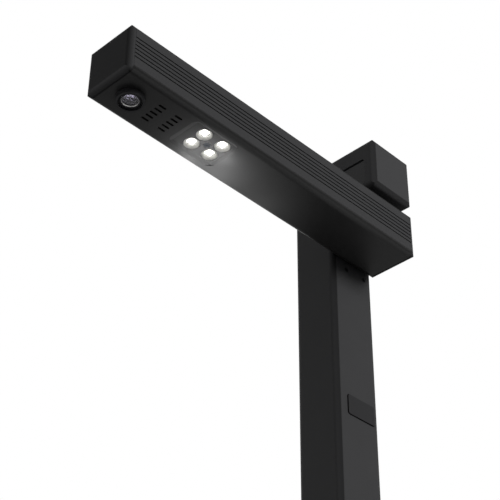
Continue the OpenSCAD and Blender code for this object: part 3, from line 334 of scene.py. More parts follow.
def spark_textured_abs(name, colour_code, flow_code, roughness, gloss, edge_shade_share, turn=EDGE_TURN):
    """Moulded ABS: a dense pitted grain that breaks the sheen, a faint flow of tone and painted shade on
    round edges.
    """
    material, tree, place = new_material(name)
    pits = add_node(tree, "ShaderNodeTexVoronoi", {
        "Vector": place, "Scale": 1 / (MOULD_GRAIN_MM * MM)})
    flow = add_node(tree, "ShaderNodeTexNoise", {
        "Vector": place, "Scale": 1 / (MOULD_FLOW_MM * MM), "Detail": MOULD_FLOW_DETAIL})
    colour = add_node(tree, "ShaderNodeMixRGB", {
        "Fac": flow.outputs["Fac"], "Color1": linear(colour_code), "Color2": linear(flow_code)})
    sheen = add_node(tree, "ShaderNodeMapRange", {
        "Value": pits.outputs["Distance"], "To Min": roughness, "To Max": roughness + MOULD_SHEEN_SPREAD})
    relief = add_node(tree, "ShaderNodeBump", {
        "Height": pits.outputs["Distance"], "Strength": MOULD_RELIEF_SHARE,
        "Distance": MOULD_RELIEF_MM * MM})
    shader = add_node(tree, "ShaderNodeBsdfPrincipled", {
        "Base Color": painted_edge_shade(tree, colour.outputs["Color"], edge_shade_share, turn),
        "Roughness": sheen.outputs["Result"], "Normal": relief.outputs["Normal"],
        "Specular IOR Level": gloss})
    close_material(tree, shader.outputs["BSDF"])
    return material


dress(spark_textured_abs("base_abs", *BASE_ABS), "base_cover")


# Socket and its board
# A glass-epoxy board stands on brass posts inside the base and carries the socket, a drawn steel
# shell with a tongue. Two rows of gold-plated contacts lie on the tongue.

MASK_COLOUR = "#1d5a37"
TRACK_COLOUR = "#2b7048"
TRACK_PITCH_MM = 0.9
TRACK_GAP_SHARE = 0.12
TRACK_LENGTH_SHARE = 5.0
TRACK_ROW_SHARE = 0.5
MASK_ROUGHNESS = 0.3
MASK_COAT = 0.4
# Turned brass: a warm yellow with a fine grain from the tool
POST_BRASS = ("#c4a052", 0.3, 0.4)
# Drawn and turned steel: a bright grey with a narrow highlight
BRIGHT_STEEL = ("#b9babc", 0.24, 0.5)
# Gold plate: a deep yellow, and smooth
GOLD_PLATE = ("#d6a94a", 0.25, 0.3)
CONTACT_COUNT = 8
CONTACT_MM = (0.28, 4.0, 0.05)
CONTACT_SPAN_MM = 5.2
CONTACT_BACK_MM = 0.6
TONGUE_HALF_MM = 0.4
BLOCK_EDGE_STEPS = 2
BLOCK_EDGE_PROFILE = 0.5


def lacquered_board():
    """Green solder mask over straight copper tracks, which show through it as paler lines."""
    material, tree, place = new_material("lacquered_circuit_board")
    tracks = add_node(tree, "ShaderNodeTexBrick", {
        "Vector": place, "Color1": linear(TRACK_COLOUR), "Color2": linear(MASK_COLOUR),
        "Mortar": linear(MASK_COLOUR), "Scale": 1 / (TRACK_PITCH_MM * MM),
        "Mortar Size": TRACK_GAP_SHARE, "Brick Width": TRACK_LENGTH_SHARE,
        "Row Height": TRACK_ROW_SHARE})
    shader = add_node(tree, "ShaderNodeBsdfPrincipled", {
        "Base Color": tracks.outputs["Color"], "Roughness": MASK_ROUGHNESS, "Coat Weight": MASK_COAT})
    close_material(tree, shader.outputs["BSDF"])
    return material


def add_block(shape, low, high, bevel):
    """Adds a block between two corners, with rounded edges where bevel isn't nought."""
    made = bmesh.ops.create_cube(shape, size=1.0)["verts"]
    middle = (low + high) / 2
    for vert in made:
        vert.co = Vector([middle[i] + vert.co[i] * (high[i] - low[i]) for i in range(3)])
    edges = {e for v in made for e in v.link_edges}
    if bevel:
        bmesh.ops.bevel(shape, geom=list(edges), offset=bevel, segments=BLOCK_EDGE_STEPS,
                        affect="EDGES", profile=BLOCK_EDGE_PROFILE)


def socket_contacts():
    """Thin strips on both faces of the socket's tongue."""
    low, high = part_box("usb_socket")
    middle = (low + high) / 2
    shape = bmesh.new()
    half = Vector(CONTACT_MM) * MM / 2
    for side in (-1, 1):
        for i in range(CONTACT_COUNT):
            centre = Vector((
                middle.x + (i / (CONTACT_COUNT - 1) - 0.5) * CONTACT_SPAN_MM * MM,
                middle.y - CONTACT_BACK_MM * MM,
                middle.z + side * (TONGUE_HALF_MM * MM + half.z),
            ))
            add_block(shape, centre - half, centre + half, 0)
    return finish_shape("socket_contacts", shape)


circuit_board = lacquered_board()
bright_steel = worked_metal("turned_steel", *BRIGHT_STEEL)
dress(circuit_board, "io_board")
dress(worked_metal("board_post_brass", *POST_BRASS), "board_posts")
dress(bright_steel, "usb_socket")
seat(socket_contacts(), worked_metal("gold_plate", *GOLD_PLATE), "stand", "brass")


# Column
# A cast foot is bolted to the base plate and fills the lower end of the tube, which is extruded
# aluminium, blasted and powder coated in charcoal. The coat has a soft sheen and a fine even grain.

# A cast skin: dull grey, and coarser than what is turned or drawn
CAST_METAL = ("#9a9c9f", 0.5, 0.8)
COAT_COLOUR = "#3b3b3c"
COAT_PATCH_COLOUR = "#363637"
COAT_GRAIN_MM = 0.25
COAT_GRAIN_DETAIL = 2.0
COAT_GRAIN_HARSHNESS = 0.6
COAT_RELIEF_MM = 0.02
COAT_RELIEF_SHARE = 0.5
COAT_PATCH_MM = 40
COAT_PATCH_DETAIL = 2.0
COAT_ROUGHNESS = (0.5, 0.6)
COAT_GLOSS = 0.2
COAT_EDGE_SHADE_SHARE = 0.6


def powder_coated_aluminium():
    """Charcoal powder coat: fine even grain, slightly uneven sheen from panel to panel."""
    material, tree, place = new_material("powder_coated_aluminium")
    grain = add_node(tree, "ShaderNodeTexNoise", {
        "Vector": place, "Scale": 1 / (COAT_GRAIN_MM * MM), "Detail": COAT_GRAIN_DETAIL,
        "Roughness": COAT_GRAIN_HARSHNESS})
    patch = add_node(tree, "ShaderNodeTexNoise", {
        "Vector": place, "Scale": 1 / (COAT_PATCH_MM * MM), "Detail": COAT_PATCH_DETAIL})
    colour = add_node(tree, "ShaderNodeMixRGB", {
        "Fac": patch.outputs["Fac"], "Color1": linear(COAT_COLOUR), "Color2": linear(COAT_PATCH_COLOUR)})
    sheen = add_node(tree, "ShaderNodeMapRange", {
        "Value": grain.outputs["Fac"], "To Min": COAT_ROUGHNESS[0], "To Max": COAT_ROUGHNESS[1]})
    relief = add_node(tree, "ShaderNodeBump", {
        "Height": grain.outputs["Fac"], "Strength": COAT_RELIEF_SHARE, "Distance": COAT_RELIEF_MM * MM})
    shader = add_node(tree, "ShaderNodeBsdfPrincipled", {
        # Painted shade darkens the round edges of the side faces
        "Base Color": painted_edge_shade(tree, colour.outputs["Color"], COAT_EDGE_SHADE_SHARE),
        "Roughness": sheen.outputs["Result"], "Normal": relief.outputs["Normal"],
        "Specular IOR Level": COAT_GLOSS})
    close_material(tree, shader.outputs["BSDF"])
    return material


cast_metal = worked_metal("cast_aluminium", *CAST_METAL)
powder_coat = powder_coated_aluminium()
dress(cast_metal, "column_foot")
dress(zinc_plate, "column_foot_bolts")
dress(powder_coat, "column_tube")


# Button and switch
# The button is a small ABS plate, darker than the column, that slides in an opening in its side. An
# acetal plunger carries it, and the switch stands behind on a board in a nylon bracket.

# The last pair makes the whole of its walls dark, as little light reaches them in the opening
BUTTON_ABS = ("#2c2c2d", "#2a2a2b", 0.5, 0.2, 0.95, (-1.0, 0.0))
# Colour, mottle and roughness of a filled plastic: acetal is waxy and off-white, nylon a dull black
WHITE_ACETAL = ("#d9d9d4", "#cfcfca", 0.4)
BLACK_NYLON = ("#353538", "#2c2c2f", 0.5)
MOTTLE_MM = 0.6
MOTTLE_DETAIL = 3.0


def filled_plastic(name, colour_code, mottle_code, roughness):
    """A plain moulding, with the fine mottle that its filler gives it."""
    material, tree, place = new_material(name)
    mottle = add_node(tree, "ShaderNodeTexNoise", {
        "Vector": place, "Scale": 1 / (MOTTLE_MM * MM), "Detail": MOTTLE_DETAIL})
    colour = add_node(tree, "ShaderNodeMixRGB", {
        "Fac": mottle.outputs["Fac"], "Color1": linear(colour_code), "Color2": linear(mottle_code)})
    shader = add_node(tree, "ShaderNodeBsdfPrincipled", {
        "Base Color": colour.outputs["Color"], "Roughness": roughness})
    close_material(tree, shader.outputs["BSDF"])
    return material


white_acetal = filled_plastic("white_acetal", *WHITE_ACETAL)
black_nylon = filled_plastic("black_nylon", *BLACK_NYLON)
dress(spark_textured_abs("button_abs", *BUTTON_ABS), "side_button")
dress(white_acetal, "switch_plunger")
dress(black_nylon, "switch_case", "switch_bracket")
dress(circuit_board, "switch_board")


# Hinge
# A cast bracket in the column holds two bronze bushes, in which the arm's hollow steel shaft turns. A
# ring of brake lining, pressed by spring washers and a nut, holds the arm at any angle. The bracket's
# black-oxide screws show in the back of the column.

OXIDE_COLOUR = "#1c1c1e"
OXIDE_WORN_COLOUR = "#3a3a3d"
OXIDE_GRAIN_MM = 0.4
OXIDE_GRAIN_DETAIL = 4.0
OXIDE_WORN_RANGE = (0.55, 0.75)
OXIDE_METALLIC = 0.6
OXIDE_ROUGHNESS = 0.42
# Sintered bronze: brown, with a fine open grain
BUSH_BRONZE = ("#a87c48", 0.45, 0.3)
# Pressed fibre and resin: brown, mottled and quite dull
BRAKE_LINING = ("#6d4f35", "#59402c", 0.8)


def black_oxide_steel():
    """Blackened steel: metal that shows through where it has rubbed."""
    material, tree, place = new_material("black_oxide_steel")
    rub = add_node(tree, "ShaderNodeTexNoise", {
        "Vector": place, "Scale": 1 / (OXIDE_GRAIN_MM * MM), "Detail": OXIDE_GRAIN_DETAIL})
    wear_and_painted_light = add_node(tree, "ShaderNodeMapRange", {
        "Value": rub.outputs["Fac"], "From Min": OXIDE_WORN_RANGE[0], "From Max": OXIDE_WORN_RANGE[1]})
    colour = add_node(tree, "ShaderNodeMixRGB", {
        "Fac": wear_and_painted_light.outputs["Result"], "Color1": linear(OXIDE_COLOUR), "Color2": linear(OXIDE_WORN_COLOUR)})
    shader = add_node(tree, "ShaderNodeBsdfPrincipled", {
        "Base Color": colour.outputs["Color"], "Metallic": OXIDE_METALLIC, "Roughness": OXIDE_ROUGHNESS})
    close_material(tree, shader.outputs["BSDF"])
    return material


black_oxide = black_oxide_steel()
dress(cast_metal, "hinge_bracket", "hinge_hub")
dress(worked_metal("sintered_bronze", *BUSH_BRONZE), "hinge_bushes")
dress(white_acetal, "side_washer")
dress(bright_steel, "hinge_shaft", "friction_disc", "spring_washers", "hinge_nut")
dress(filled_plastic("brake_lining", *BRAKE_LINING), "friction_ring")
dress(black_oxide, "bracket_screws")
dress(zinc_plate, "hub_screws")


# Head
# A two-part ABS housing on a cast plug that is screwed into the top of the tube. A plate of smoked
# acrylic closes its front, with painted shade from the dark space behind, darkest at the second camera.

HEAD_ABS = ("#3d3d3e", "#3a3a3b", 0.5, 0.2, 0.6)
ACRYLIC_EYE_SHADE_COLOUR = "#0a0a0b"
ACRYLIC_COLOUR = "#29292b"
ACRYLIC_EYE_MM = (4.0, 14.0)
ACRYLIC_WAVE_MM = 12
ACRYLIC_WAVE_DETAIL = 1.0
ACRYLIC_ROUGHNESS = (0.06, 0.12)
ACRYLIC_IOR = 1.49
ACRYLIC_CLEAR_SHARE = 0.1

eye_low, eye_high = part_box("portrait_lens")
eye_centre = (eye_low + eye_high) / 2


def smoked_acrylic():
    """Dark plastic with painted shade, nearly black at the camera's eye, and the faint waviness of a cut
    sheet.
    """
    material, tree, place = new_material("smoked_acrylic")
    wave = add_node(tree, "ShaderNodeTexNoise", {
        "Vector": place, "Scale": 1 / (ACRYLIC_WAVE_MM * MM), "Detail": ACRYLIC_WAVE_DETAIL})
    sheen = add_node(tree, "ShaderNodeMapRange", {
        "Value": wave.outputs["Fac"], "To Min": ACRYLIC_ROUGHNESS[0], "To Max": ACRYLIC_ROUGHNESS[1]})
    reach = add_node(tree, "ShaderNodeVectorMath", {0: place, 1: eye_centre}, operation="DISTANCE")
    open_share = add_node(tree, "ShaderNodeMapRange", {
        "Value": reach.outputs["Value"], "From Min": ACRYLIC_EYE_MM[0] * MM,
        "From Max": ACRYLIC_EYE_MM[1] * MM}, interpolation_type="SMOOTHSTEP")
    colour = add_node(tree, "ShaderNodeMixRGB", {
        "Fac": open_share.outputs["Result"], "Color1": linear(ACRYLIC_EYE_SHADE_COLOUR),
        "Color2": linear(ACRYLIC_COLOUR)})
    shader = add_node(tree, "ShaderNodeBsdfPrincipled", {
        "Base Color": colour.outputs["Color"], "Roughness": sheen.outputs["Result"],
        "IOR": ACRYLIC_IOR, "Transmission Weight": ACRYLIC_CLEAR_SHARE})
    close_material(tree, shader.outputs["BSDF"])
    return material


dress(cast_metal, "head_plug")
dress(zinc_plate, "head_screws", "portrait_board_screws")
dress(spark_textured_abs("head_abs", *HEAD_ABS), "head_housing", "head_rear_cover")
dress(black_oxide, "head_plug_screws", "rear_cover_screws")
dress(circuit_board, "portrait_board")
dress(black_nylon, "portrait_lens")
dress(smoked_acrylic(), "head_window")


# Wires
# One bundle runs from the socket's board up the column to the head, with branches to the switch and
# the shaft, and a short one from the shaft to the main board. Both have a matte braided sleeve.

WIRE_SLEEVE = ("#2f2f31", "#262628", 0.7)

dress(filled_plastic("wire_sleeve", *WIRE_SLEEVE), "column_harness", "arm_harness")


# Arm channel
# Extruded aluminium like the column, with six fine grooves down each side, and powder coated with it.
# Shade is painted into the coat in the grooves, where little light gets in, darker than that beside them.

GROOVE_SHADE_COLOUR = "#0d0d0e"
GROOVE_MOUTH_MM = 0.2
GROOVE_FLOOR_MM = 0.6
GROOVES_BELOW_TOP_MM = (9.0, 26.5)

arm_low, arm_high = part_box("arm_channel")


def tint_where(material, mask, code):
    """Mixes a colour into the material's own where the mask is one."""
    tree = material.node_tree
    shader = next(node for node in tree.nodes if node.type == "BSDF_PRINCIPLED")
    plain = shader.inputs["Base Color"].links[0].from_socket
    tinted = add_node(tree, "ShaderNodeMixRGB", {"Fac": mask, "Color1": plain, "Color2": linear(code)})
    tree.links.new(tinted.outputs["Color"], shader.inputs["Base Color"])


def coat_with_painted_groove_shade():
    """The column's coat, with painted shade inside the arm's grooves."""
    material = powder_coat.copy()
    material.name = "powder_coat_with_painted_groove_shade"
    tree = material.node_tree
    place = add_node(tree, "ShaderNodeTexCoord", {}).outputs["Object"]
    across = add_node(tree, "ShaderNodeSeparateXYZ", {"Vector": place})
    from_middle = add_node(tree, "ShaderNodeMath", {
        0: across.outputs["X"], 1: (arm_low.x + arm_high.x) / 2}, operation="SUBTRACT")
    either_side = add_node(tree, "ShaderNodeMath", {0: from_middle.outputs["Value"]}, operation="ABSOLUTE")
    half = (arm_high.x - arm_low.x) / 2
    sunk = add_node(tree, "ShaderNodeMapRange", {
        "Value": either_side.outputs["Value"], "From Min": half - GROOVE_FLOOR_MM * MM,
        "From Max": half - GROOVE_MOUTH_MM * MM, "To Min": 1.0, "To Max": 0.0})
    upper, lower = [arm_high.z - drop * MM for drop in GROOVES_BELOW_TOP_MM]
    in_band = add_node(tree, "ShaderNodeMath", {
        0: across.outputs["Z"], 1: (upper + lower) / 2, 2: (upper - lower) / 2}, operation="COMPARE")
    groove_shade = add_node(tree, "ShaderNodeMath", {
        0: sunk.outputs["Result"], 1: in_band.outputs["Value"]}, operation="MULTIPLY")
    tint_where(material, groove_shade.outputs["Value"], GROOVE_SHADE_COLOUR)
    return material


dress(coat_with_painted_groove_shade(), "arm_channel")


# Arm covers
# Two end caps and the underside cover are moulded in ABS and clipped to the channel. The underside is
# smooth, so the lamps' light glides along it. The caps carry painted light and shade: their end faces
# stay darkest, their sides are painted in the channel's tone, and their lower front rounding is paler.

# As for the base: colour, its flow, roughness, gloss and the share of painted shade on round edges
CAP_ABS = ("#1e1e1f", "#1c1c1d", 0.5, 0.15, 0.0)
UNDERSIDE_ABS = ("#232323", "#202020", 0.36, 0.5, 0.75)
# Where the caps' sides are painted in the channel's tone, and the colour and gain of painted light on their
# lower front
CAP_SIDE_TURN = (0.25, 1.0)
CAP_PAINTED_LIGHT_COLOUR = "#4c4c4d"
CAP_PAINTED_LIGHT_GAIN = 3.0


def paint_light_and_shade_on_cap(material):
    """Paints light and shade on the cap: its sides in the channel's tone, faces that look down and forward
    paler.
    """
    tree = material.node_tree
    facing = add_node(tree, "ShaderNodeTexCoord", {}).outputs["Normal"]
    parts = add_node(tree, "ShaderNodeSeparateXYZ", {"Vector": facing})
    sideways = add_node(tree, "ShaderNodeMath", {0: parts.outputs["X"]}, operation="ABSOLUTE")
    turned = add_node(tree, "ShaderNodeMapRange", {
        "Value": sideways.outputs["Value"], "From Min": CAP_SIDE_TURN[0], "From Max": CAP_SIDE_TURN[1]})
    tint_where(material, turned.outputs["Result"], COAT_COLOUR)
    both = add_node(tree, "ShaderNodeMath", {0: parts.outputs["Y"], 1: parts.outputs["Z"]},
                    operation="MULTIPLY")
    forward = add_node(tree, "ShaderNodeMath", {0: parts.outputs["Y"], 1: 0.0}, operation="LESS_THAN")
    wear_and_painted_light = add_node(tree, "ShaderNodeMath", {0: both.outputs["Value"], 1: forward.outputs["Value"]},
                    operation="MULTIPLY")
    full = add_node(tree, "ShaderNodeMath", {0: wear_and_painted_light.outputs["Value"], 1: CAP_PAINTED_LIGHT_GAIN},
                    operation="MULTIPLY", use_clamp=True)
    tint_where(material, full.outputs["Value"], CAP_PAINTED_LIGHT_COLOUR)


cap_abs = spark_textured_abs("cap_abs", *CAP_ABS)
paint_light_and_shade_on_cap(cap_abs)
dress(cap_abs, "arm_front_cap", "arm_rear_cap")
dress(spark_textured_abs("underside_abs", *UNDERSIDE_ABS), "arm_underside_cover")


# Scan lens
# The collar and barrel are turned aluminium, anodised black. The barrel holds a domed front glass in a
# threaded ring with a bright chamfer, baffles, and a coated rear element whose violet tint meets the
# eye from below. The holder carries the barrel on the camera's board, over the sensor.

ANODISE_COLOUR = "#3c3c3e"
ANODISE_METALLIC = 0.6
# The real rings are about 0.1 mm apart, and are drawn coarser so that they show
TURNING_PITCH_MM = 0.35
TURNING_RELIEF_MM = 0.02
TURNING_RELIEF_SHARE = 0.3
TURNING_ROUGHNESS = (0.3, 0.42)
GLASS_COLOUR = "#f4f2fa"
GLASS_HAZE_MM = 1.1
GLASS_HAZE = 0.03
GLASS_IOR = 1.52
LENS_TINT = "#eae6f6"
LENS_RIM_TINT = "#8a8798"
LENS_RIM_SHARES = (0.5, 0.8)
LENS_METALLIC = 0.9
LENS_ROUGHNESS = 0.08
FACET_MM = 1.7
FACET_RELIEF_MM = 1.0
NICKEL_COLOUR = "#f0efec"
NICKEL_METALLIC = 0.6
NICKEL_ROUGHNESS = (0.25, 0.4)
NICKEL_GRAIN_MM = 0.2
# Cover glass of the sensor: blue-black and glossy
SENSOR_GLASS = ("#2a3a44", "#22303a", 0.1)
SEAT_MM = 0.1
BORE_STEP_MM = 0.6
BARREL_EDGE_MM = 0.25
BAFFLE_COUNT = 4
BAFFLE_DEPTH_MM = 0.5
BAFFLED_SHARE = 0.6
DOME_RISE_MM = 0.9
DOME_STEPS = 16
GLASS_EDGE_MM = 0.2
REAR_ABOVE_MM = 2.6
REAR_RISE_MM = 1.5
REAR_INSET_MM = 1.2
REAR_EDGE_MM = 0.6
REAR_STEPS = 12
RING_TOP_MM = 0.68
RING_WIDTH_MM = 0.7
RING_LOW_MM = (0.1, 0.3)
CHAMFER_TOP_MM = 0.55
CHAMFER_LOW_MM = 0.05
CHAMFER_WIDTH_MM = 0.4

barrel_low, barrel_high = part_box("lens_barrel")
glass_low, glass_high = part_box("lens_glass")
lens_centre = (barrel_low + barrel_high) / 2
barrel_r = (barrel_high.x - barrel_low.x) / 2
glass_r = (glass_high.x - glass_low.x) / 2


def from_lens_axis(tree, place):
    """The distance of a point from the lens's upright axis."""
    centred = add_node(tree, "ShaderNodeVectorMath", {0: place, 1: lens_centre}, operation="SUBTRACT")
    flat = add_node(tree, "ShaderNodeVectorMath", {0: centred.outputs["Vector"], 1: (1, 1, 0)},
                    operation="MULTIPLY")
    return add_node(tree, "ShaderNodeVectorMath", {0: flat.outputs["Vector"]},
                    operation="LENGTH").outputs["Value"]


def anodised_aluminium():
    """Black anodised turning: fine rings round the lens axis, a narrow satin highlight."""
    material, tree, place = new_material("black_anodised_aluminium")
    turns = add_node(tree, "ShaderNodeMath", {
        0: from_lens_axis(tree, place), 1: 2 * math.pi / (TURNING_PITCH_MM * MM)}, operation="MULTIPLY")
    ring = add_node(tree, "ShaderNodeMath", {0: turns.outputs["Value"]}, operation="SINE")
    sheen = add_node(tree, "ShaderNodeMapRange", {
        "Value": ring.outputs["Value"], "From Min": -1.0, "To Min": TURNING_ROUGHNESS[0],
        "To Max": TURNING_ROUGHNESS[1]})
    relief = add_node(tree, "ShaderNodeBump", {
        "Height": ring.outputs["Value"], "Strength": TURNING_RELIEF_SHARE,
        "Distance": TURNING_RELIEF_MM * MM})
    shader = add_node(tree, "ShaderNodeBsdfPrincipled", {
        "Base Color": linear(ANODISE_COLOUR), "Metallic": ANODISE_METALLIC,
        "Roughness": sheen.outputs["Result"], "Normal": relief.outputs["Normal"]})
    close_material(tree, shader.outputs["BSDF"])
    return material


def lens_front_glass():
    """Polished optical glass, clear, with a trace of haze."""
    material, tree, place = new_material("lens_front_glass")
    haze = add_node(tree, "ShaderNodeTexNoise", {"Vector": place, "Scale": 1 / (GLASS_HAZE_MM * MM)})
    sheen = add_node(tree, "ShaderNodeMapRange", {
        "Value": haze.outputs["Fac"], "To Min": 0.0, "To Max": GLASS_HAZE})
    shader = add_node(tree, "ShaderNodeBsdfPrincipled", {
        "Base Color": linear(GLASS_COLOUR), "Roughness": sheen.outputs["Result"], "IOR": GLASS_IOR,
        "Transmission Weight": 1.0})
    close_material(tree, shader.outputs["BSDF"])
    return material


def coated_element():
    """The rear element's coating: a violet mirror, broken into facets, that dulls at its rim."""
    material, tree, place = new_material("coated_lens_element")
    rim = add_node(tree, "ShaderNodeMapRange", {
        "Value": from_lens_axis(tree, place), "From Min": glass_r * LENS_RIM_SHARES[0],
        "From Max": glass_r * LENS_RIM_SHARES[1]})
    colour = add_node(tree, "ShaderNodeMixRGB", {
        "Fac": rim.outputs["Result"], "Color1": linear(LENS_TINT), "Color2": linear(LENS_RIM_TINT)})
    facet = add_node(tree, "ShaderNodeTexVoronoi", {"Vector": place, "Scale": 1 / (FACET_MM * MM)})
    relief = add_node(tree, "ShaderNodeBump", {
        "Height": facet.outputs["Distance"], "Strength": 1.0, "Distance": FACET_RELIEF_MM * MM})
    shader = add_node(tree, "ShaderNodeBsdfPrincipled", {
        "Base Color": colour.outputs["Color"], "Metallic": LENS_METALLIC, "Roughness": LENS_ROUGHNESS,
        "Normal": relief.outputs["Normal"]})
    close_material(tree, shader.outputs["BSDF"])
    return material


def polished_nickel():
    """Bright nickel plate with a faint brushing."""
    material, tree, place = new_material("polished_nickel")
    brush = add_node(tree, "ShaderNodeTexNoise", {"Vector": place, "Scale": 1 / (NICKEL_GRAIN_MM * MM)})
    sheen = add_node(tree, "ShaderNodeMapRange", {
        "Value": brush.outputs["Fac"], "To Min": NICKEL_ROUGHNESS[0], "To Max": NICKEL_ROUGHNESS[1]})
    shader = add_node(tree, "ShaderNodeBsdfPrincipled", {
        "Base Color": linear(NICKEL_COLOUR), "Metallic": NICKEL_METALLIC,
        "Roughness": sheen.outputs["Result"]})
    close_material(tree, shader.outputs["BSDF"])
    return material


def turned_barrel():
    """The lens barrel with its glass seat, inner baffles and open back."""
    seat_r = glass_r + SEAT_MM * MM
    bore_r = glass_r - BORE_STEP_MM * MM
    baffle_r = bore_r - BAFFLE_DEPTH_MM * MM
    seat_top = glass_high.z + SEAT_MM * MM
    edge = BARREL_EDGE_MM * MM
    outline = [
        (barrel_r - edge, barrel_low.z), (barrel_r, barrel_low.z + edge),
        (barrel_r, barrel_high.z), (bore_r, barrel_high.z),
    ]
    pitch = (barrel_high.z - seat_top) * BAFFLED_SHARE / BAFFLE_COUNT
    for i in reversed(range(BAFFLE_COUNT)):
        z = seat_top + (i + BAFFLED_SHARE) * pitch
        outline += [(bore_r, z + pitch / 2), (baffle_r, z + pitch / 3),
                    (baffle_r, z), (bore_r, z - pitch / 6)]
    outline += [(bore_r, seat_top), (seat_r, seat_top), (seat_r, barrel_low.z + edge),
                (seat_r + edge, barrel_low.z)]
    return lathe("lens_barrel_turned", outline, lens_centre, closed=True)


def domed_glass():
    """The front element: a shallow dome below, flat above, with a ground edge."""
    edge = GLASS_EDGE_MM * MM
    points = []
    for i in range(DOME_STEPS + 1):
        share = i / DOME_STEPS
        points.append((glass_r * share, glass_low.z + DOME_RISE_MM * MM * share * share))
    points += [(glass_r, glass_high.z - edge), (glass_r - edge, glass_high.z), (0.0, glass_high.z)]
    return lathe("lens_front_element", points, lens_centre, closed=False)


def rear_element():
    """The coated element deeper in the barrel, bulging down towards the glass."""
    top = glass_high.z + REAR_ABOVE_MM * MM
    reach = glass_r - REAR_INSET_MM * MM
    back = top + REAR_EDGE_MM * MM
    points = []
    for i in range(REAR_STEPS + 1):
        share = i / REAR_STEPS
        points.append((reach * share, top - REAR_RISE_MM * MM * (1 - share * share)))
    points += [(reach, back), (0.0, back)]
    return lathe("lens_rear_element", points, lens_centre, closed=False)


def retaining_ring():
    """The threaded ring that holds the front element in its seat."""
    top = glass_low.z + RING_TOP_MM * MM
    inner = glass_r - RING_WIDTH_MM * MM
    outer = glass_r + SEAT_MM * MM / 2
    outline = [(inner, top), (inner, glass_low.z - RING_LOW_MM[0] * MM),
               (outer, glass_low.z - RING_LOW_MM[1] * MM), (outer, top)]
    return lathe("lens_retaining_ring", outline, lens_centre, closed=True)


def bright_chamfer():
    """The bright cone cut in the retaining ring, next to the glass."""
    low = glass_low.z - CHAMFER_LOW_MM * MM
    top = glass_low.z + CHAMFER_TOP_MM * MM
    outer = glass_r - RING_WIDTH_MM * MM
    inner = outer - CHAMFER_WIDTH_MM * MM
    return lathe("lens_bright_chamfer", [(inner, top), (outer, low), (outer, top)], lens_centre,
                 closed=True)


anodised = anodised_aluminium()
dress(anodised, "lens_collar", "lens_holder")
dress(circuit_board, "camera_board")
dress(zinc_plate, "camera_board_screws")
dress(filled_plastic("sensor_glass", *SENSOR_GLASS), "image_sensor")
seat(turned_barrel(), anodised, "arm", "lens_plastic", "lens_barrel")
seat(domed_glass(), lens_front_glass(), "arm", "lens_glass", "lens_glass")
seat(rear_element(), coated_element(), "arm", "lens_glass")
seat(retaining_ring(), anodised, "arm", "lens_plastic")
seat(bright_chamfer(), polished_nickel(), "arm", "bright_steel")


# Voice module
# The microphone and the speaker share one case, moulded in filled black nylon. It is pressed over the two
# groups of slots from inside, and its dull face is what the eye meets behind them.

dress(black_nylon, "voice_module")


# Lamps
# Four square light chips sit in white cups, moulded in one reflector of glossy polycarbonate that one
# screw holds. Each chip is a ceramic carrier with a raised phosphor pad on a bare aluminium board,
# which a finned spreader cools.

CUP_COLOUR = "#efefef"
CUP_SHADE_COLOUR = "#e6e6e7"
CUP_SWIRL_MM = 2.5
CUP_SWIRL_TWIST = 1.5
CUP_ROUGHNESS = 0.25
CERAMIC_COLOUR = "#eceae4"
CERAMIC_ROUGHNESS = 0.6
# Real ceramic is sintered from far finer grains, and these are drawn coarser so that they show
CERAMIC_GRAIN_MM = 0.17
CERAMIC_RELIEF_MM = 0.01
CERAMIC_RELIEF_SHARE = 0.3
PHOSPHOR_COLOUR = "#fffdf4"
PHOSPHOR_GRAIN_MM = 0.4
PHOSPHOR_STRENGTH = (4.2, 3.36)
# Rolled aluminium, left bare: pale, with a soft shine
BARE_ALUMINIUM = ("#c3c5c8", 0.33, 0.6)
CARRIER_MM = 0.35
CARRIER_EDGE_MM = 0.1
PAD_EDGE_MM = 0.25
GLOW_DISC_MM = 6
# Place from the arm's corner in mm, and power in watts
GLOW_LAMPS = {
    "glow_at_cups": ((1, 84, -11), 0.014),
    "glow_behind_cups": ((20, 100, -9), 0.007),
    "glow_along_edge": ((3, 106, -25), 0.065),
    "glow_far": ((-3, 148, -25), 0.0165),
    "glow_between_cups": ((19, 82, -14), 0.016),
}


def white_polycarbonate():
    """Glossy white plastic with a trace of swirl from the mould."""
    material, tree, place = new_material("white_polycarbonate")
    swirl = add_node(tree, "ShaderNodeTexNoise", {
        "Vector": place, "Scale": 1 / (CUP_SWIRL_MM * MM), "Distortion": CUP_SWIRL_TWIST})
    colour = add_node(tree, "ShaderNodeMixRGB", {
        "Fac": swirl.outputs["Fac"], "Color1": linear(CUP_COLOUR), "Color2": linear(CUP_SHADE_COLOUR)})
    shader = add_node(tree, "ShaderNodeBsdfPrincipled", {
        "Base Color": colour.outputs["Color"], "Roughness": CUP_ROUGHNESS})
    close_material(tree, shader.outputs["BSDF"])
    return material


def lit_phosphor():
    """The lit pad: brightest in the middle of its grain, clipped to white as in the photograph."""
    material, tree, place = new_material("lit_phosphor")
    grain = add_node(tree, "ShaderNodeTexVoronoi", {
        "Vector": place, "Scale": 1 / (PHOSPHOR_GRAIN_MM * MM)})
    glow = add_node(tree, "ShaderNodeMapRange", {
        "Value": grain.outputs["Distance"], "To Min": PHOSPHOR_STRENGTH[0],
        "To Max": PHOSPHOR_STRENGTH[1]})
    shader = add_node(tree, "ShaderNodeEmission", {
        "Color": linear(PHOSPHOR_COLOUR), "Strength": glow.outputs["Result"]})
    close_material(tree, shader.outputs["Emission"])
    return material


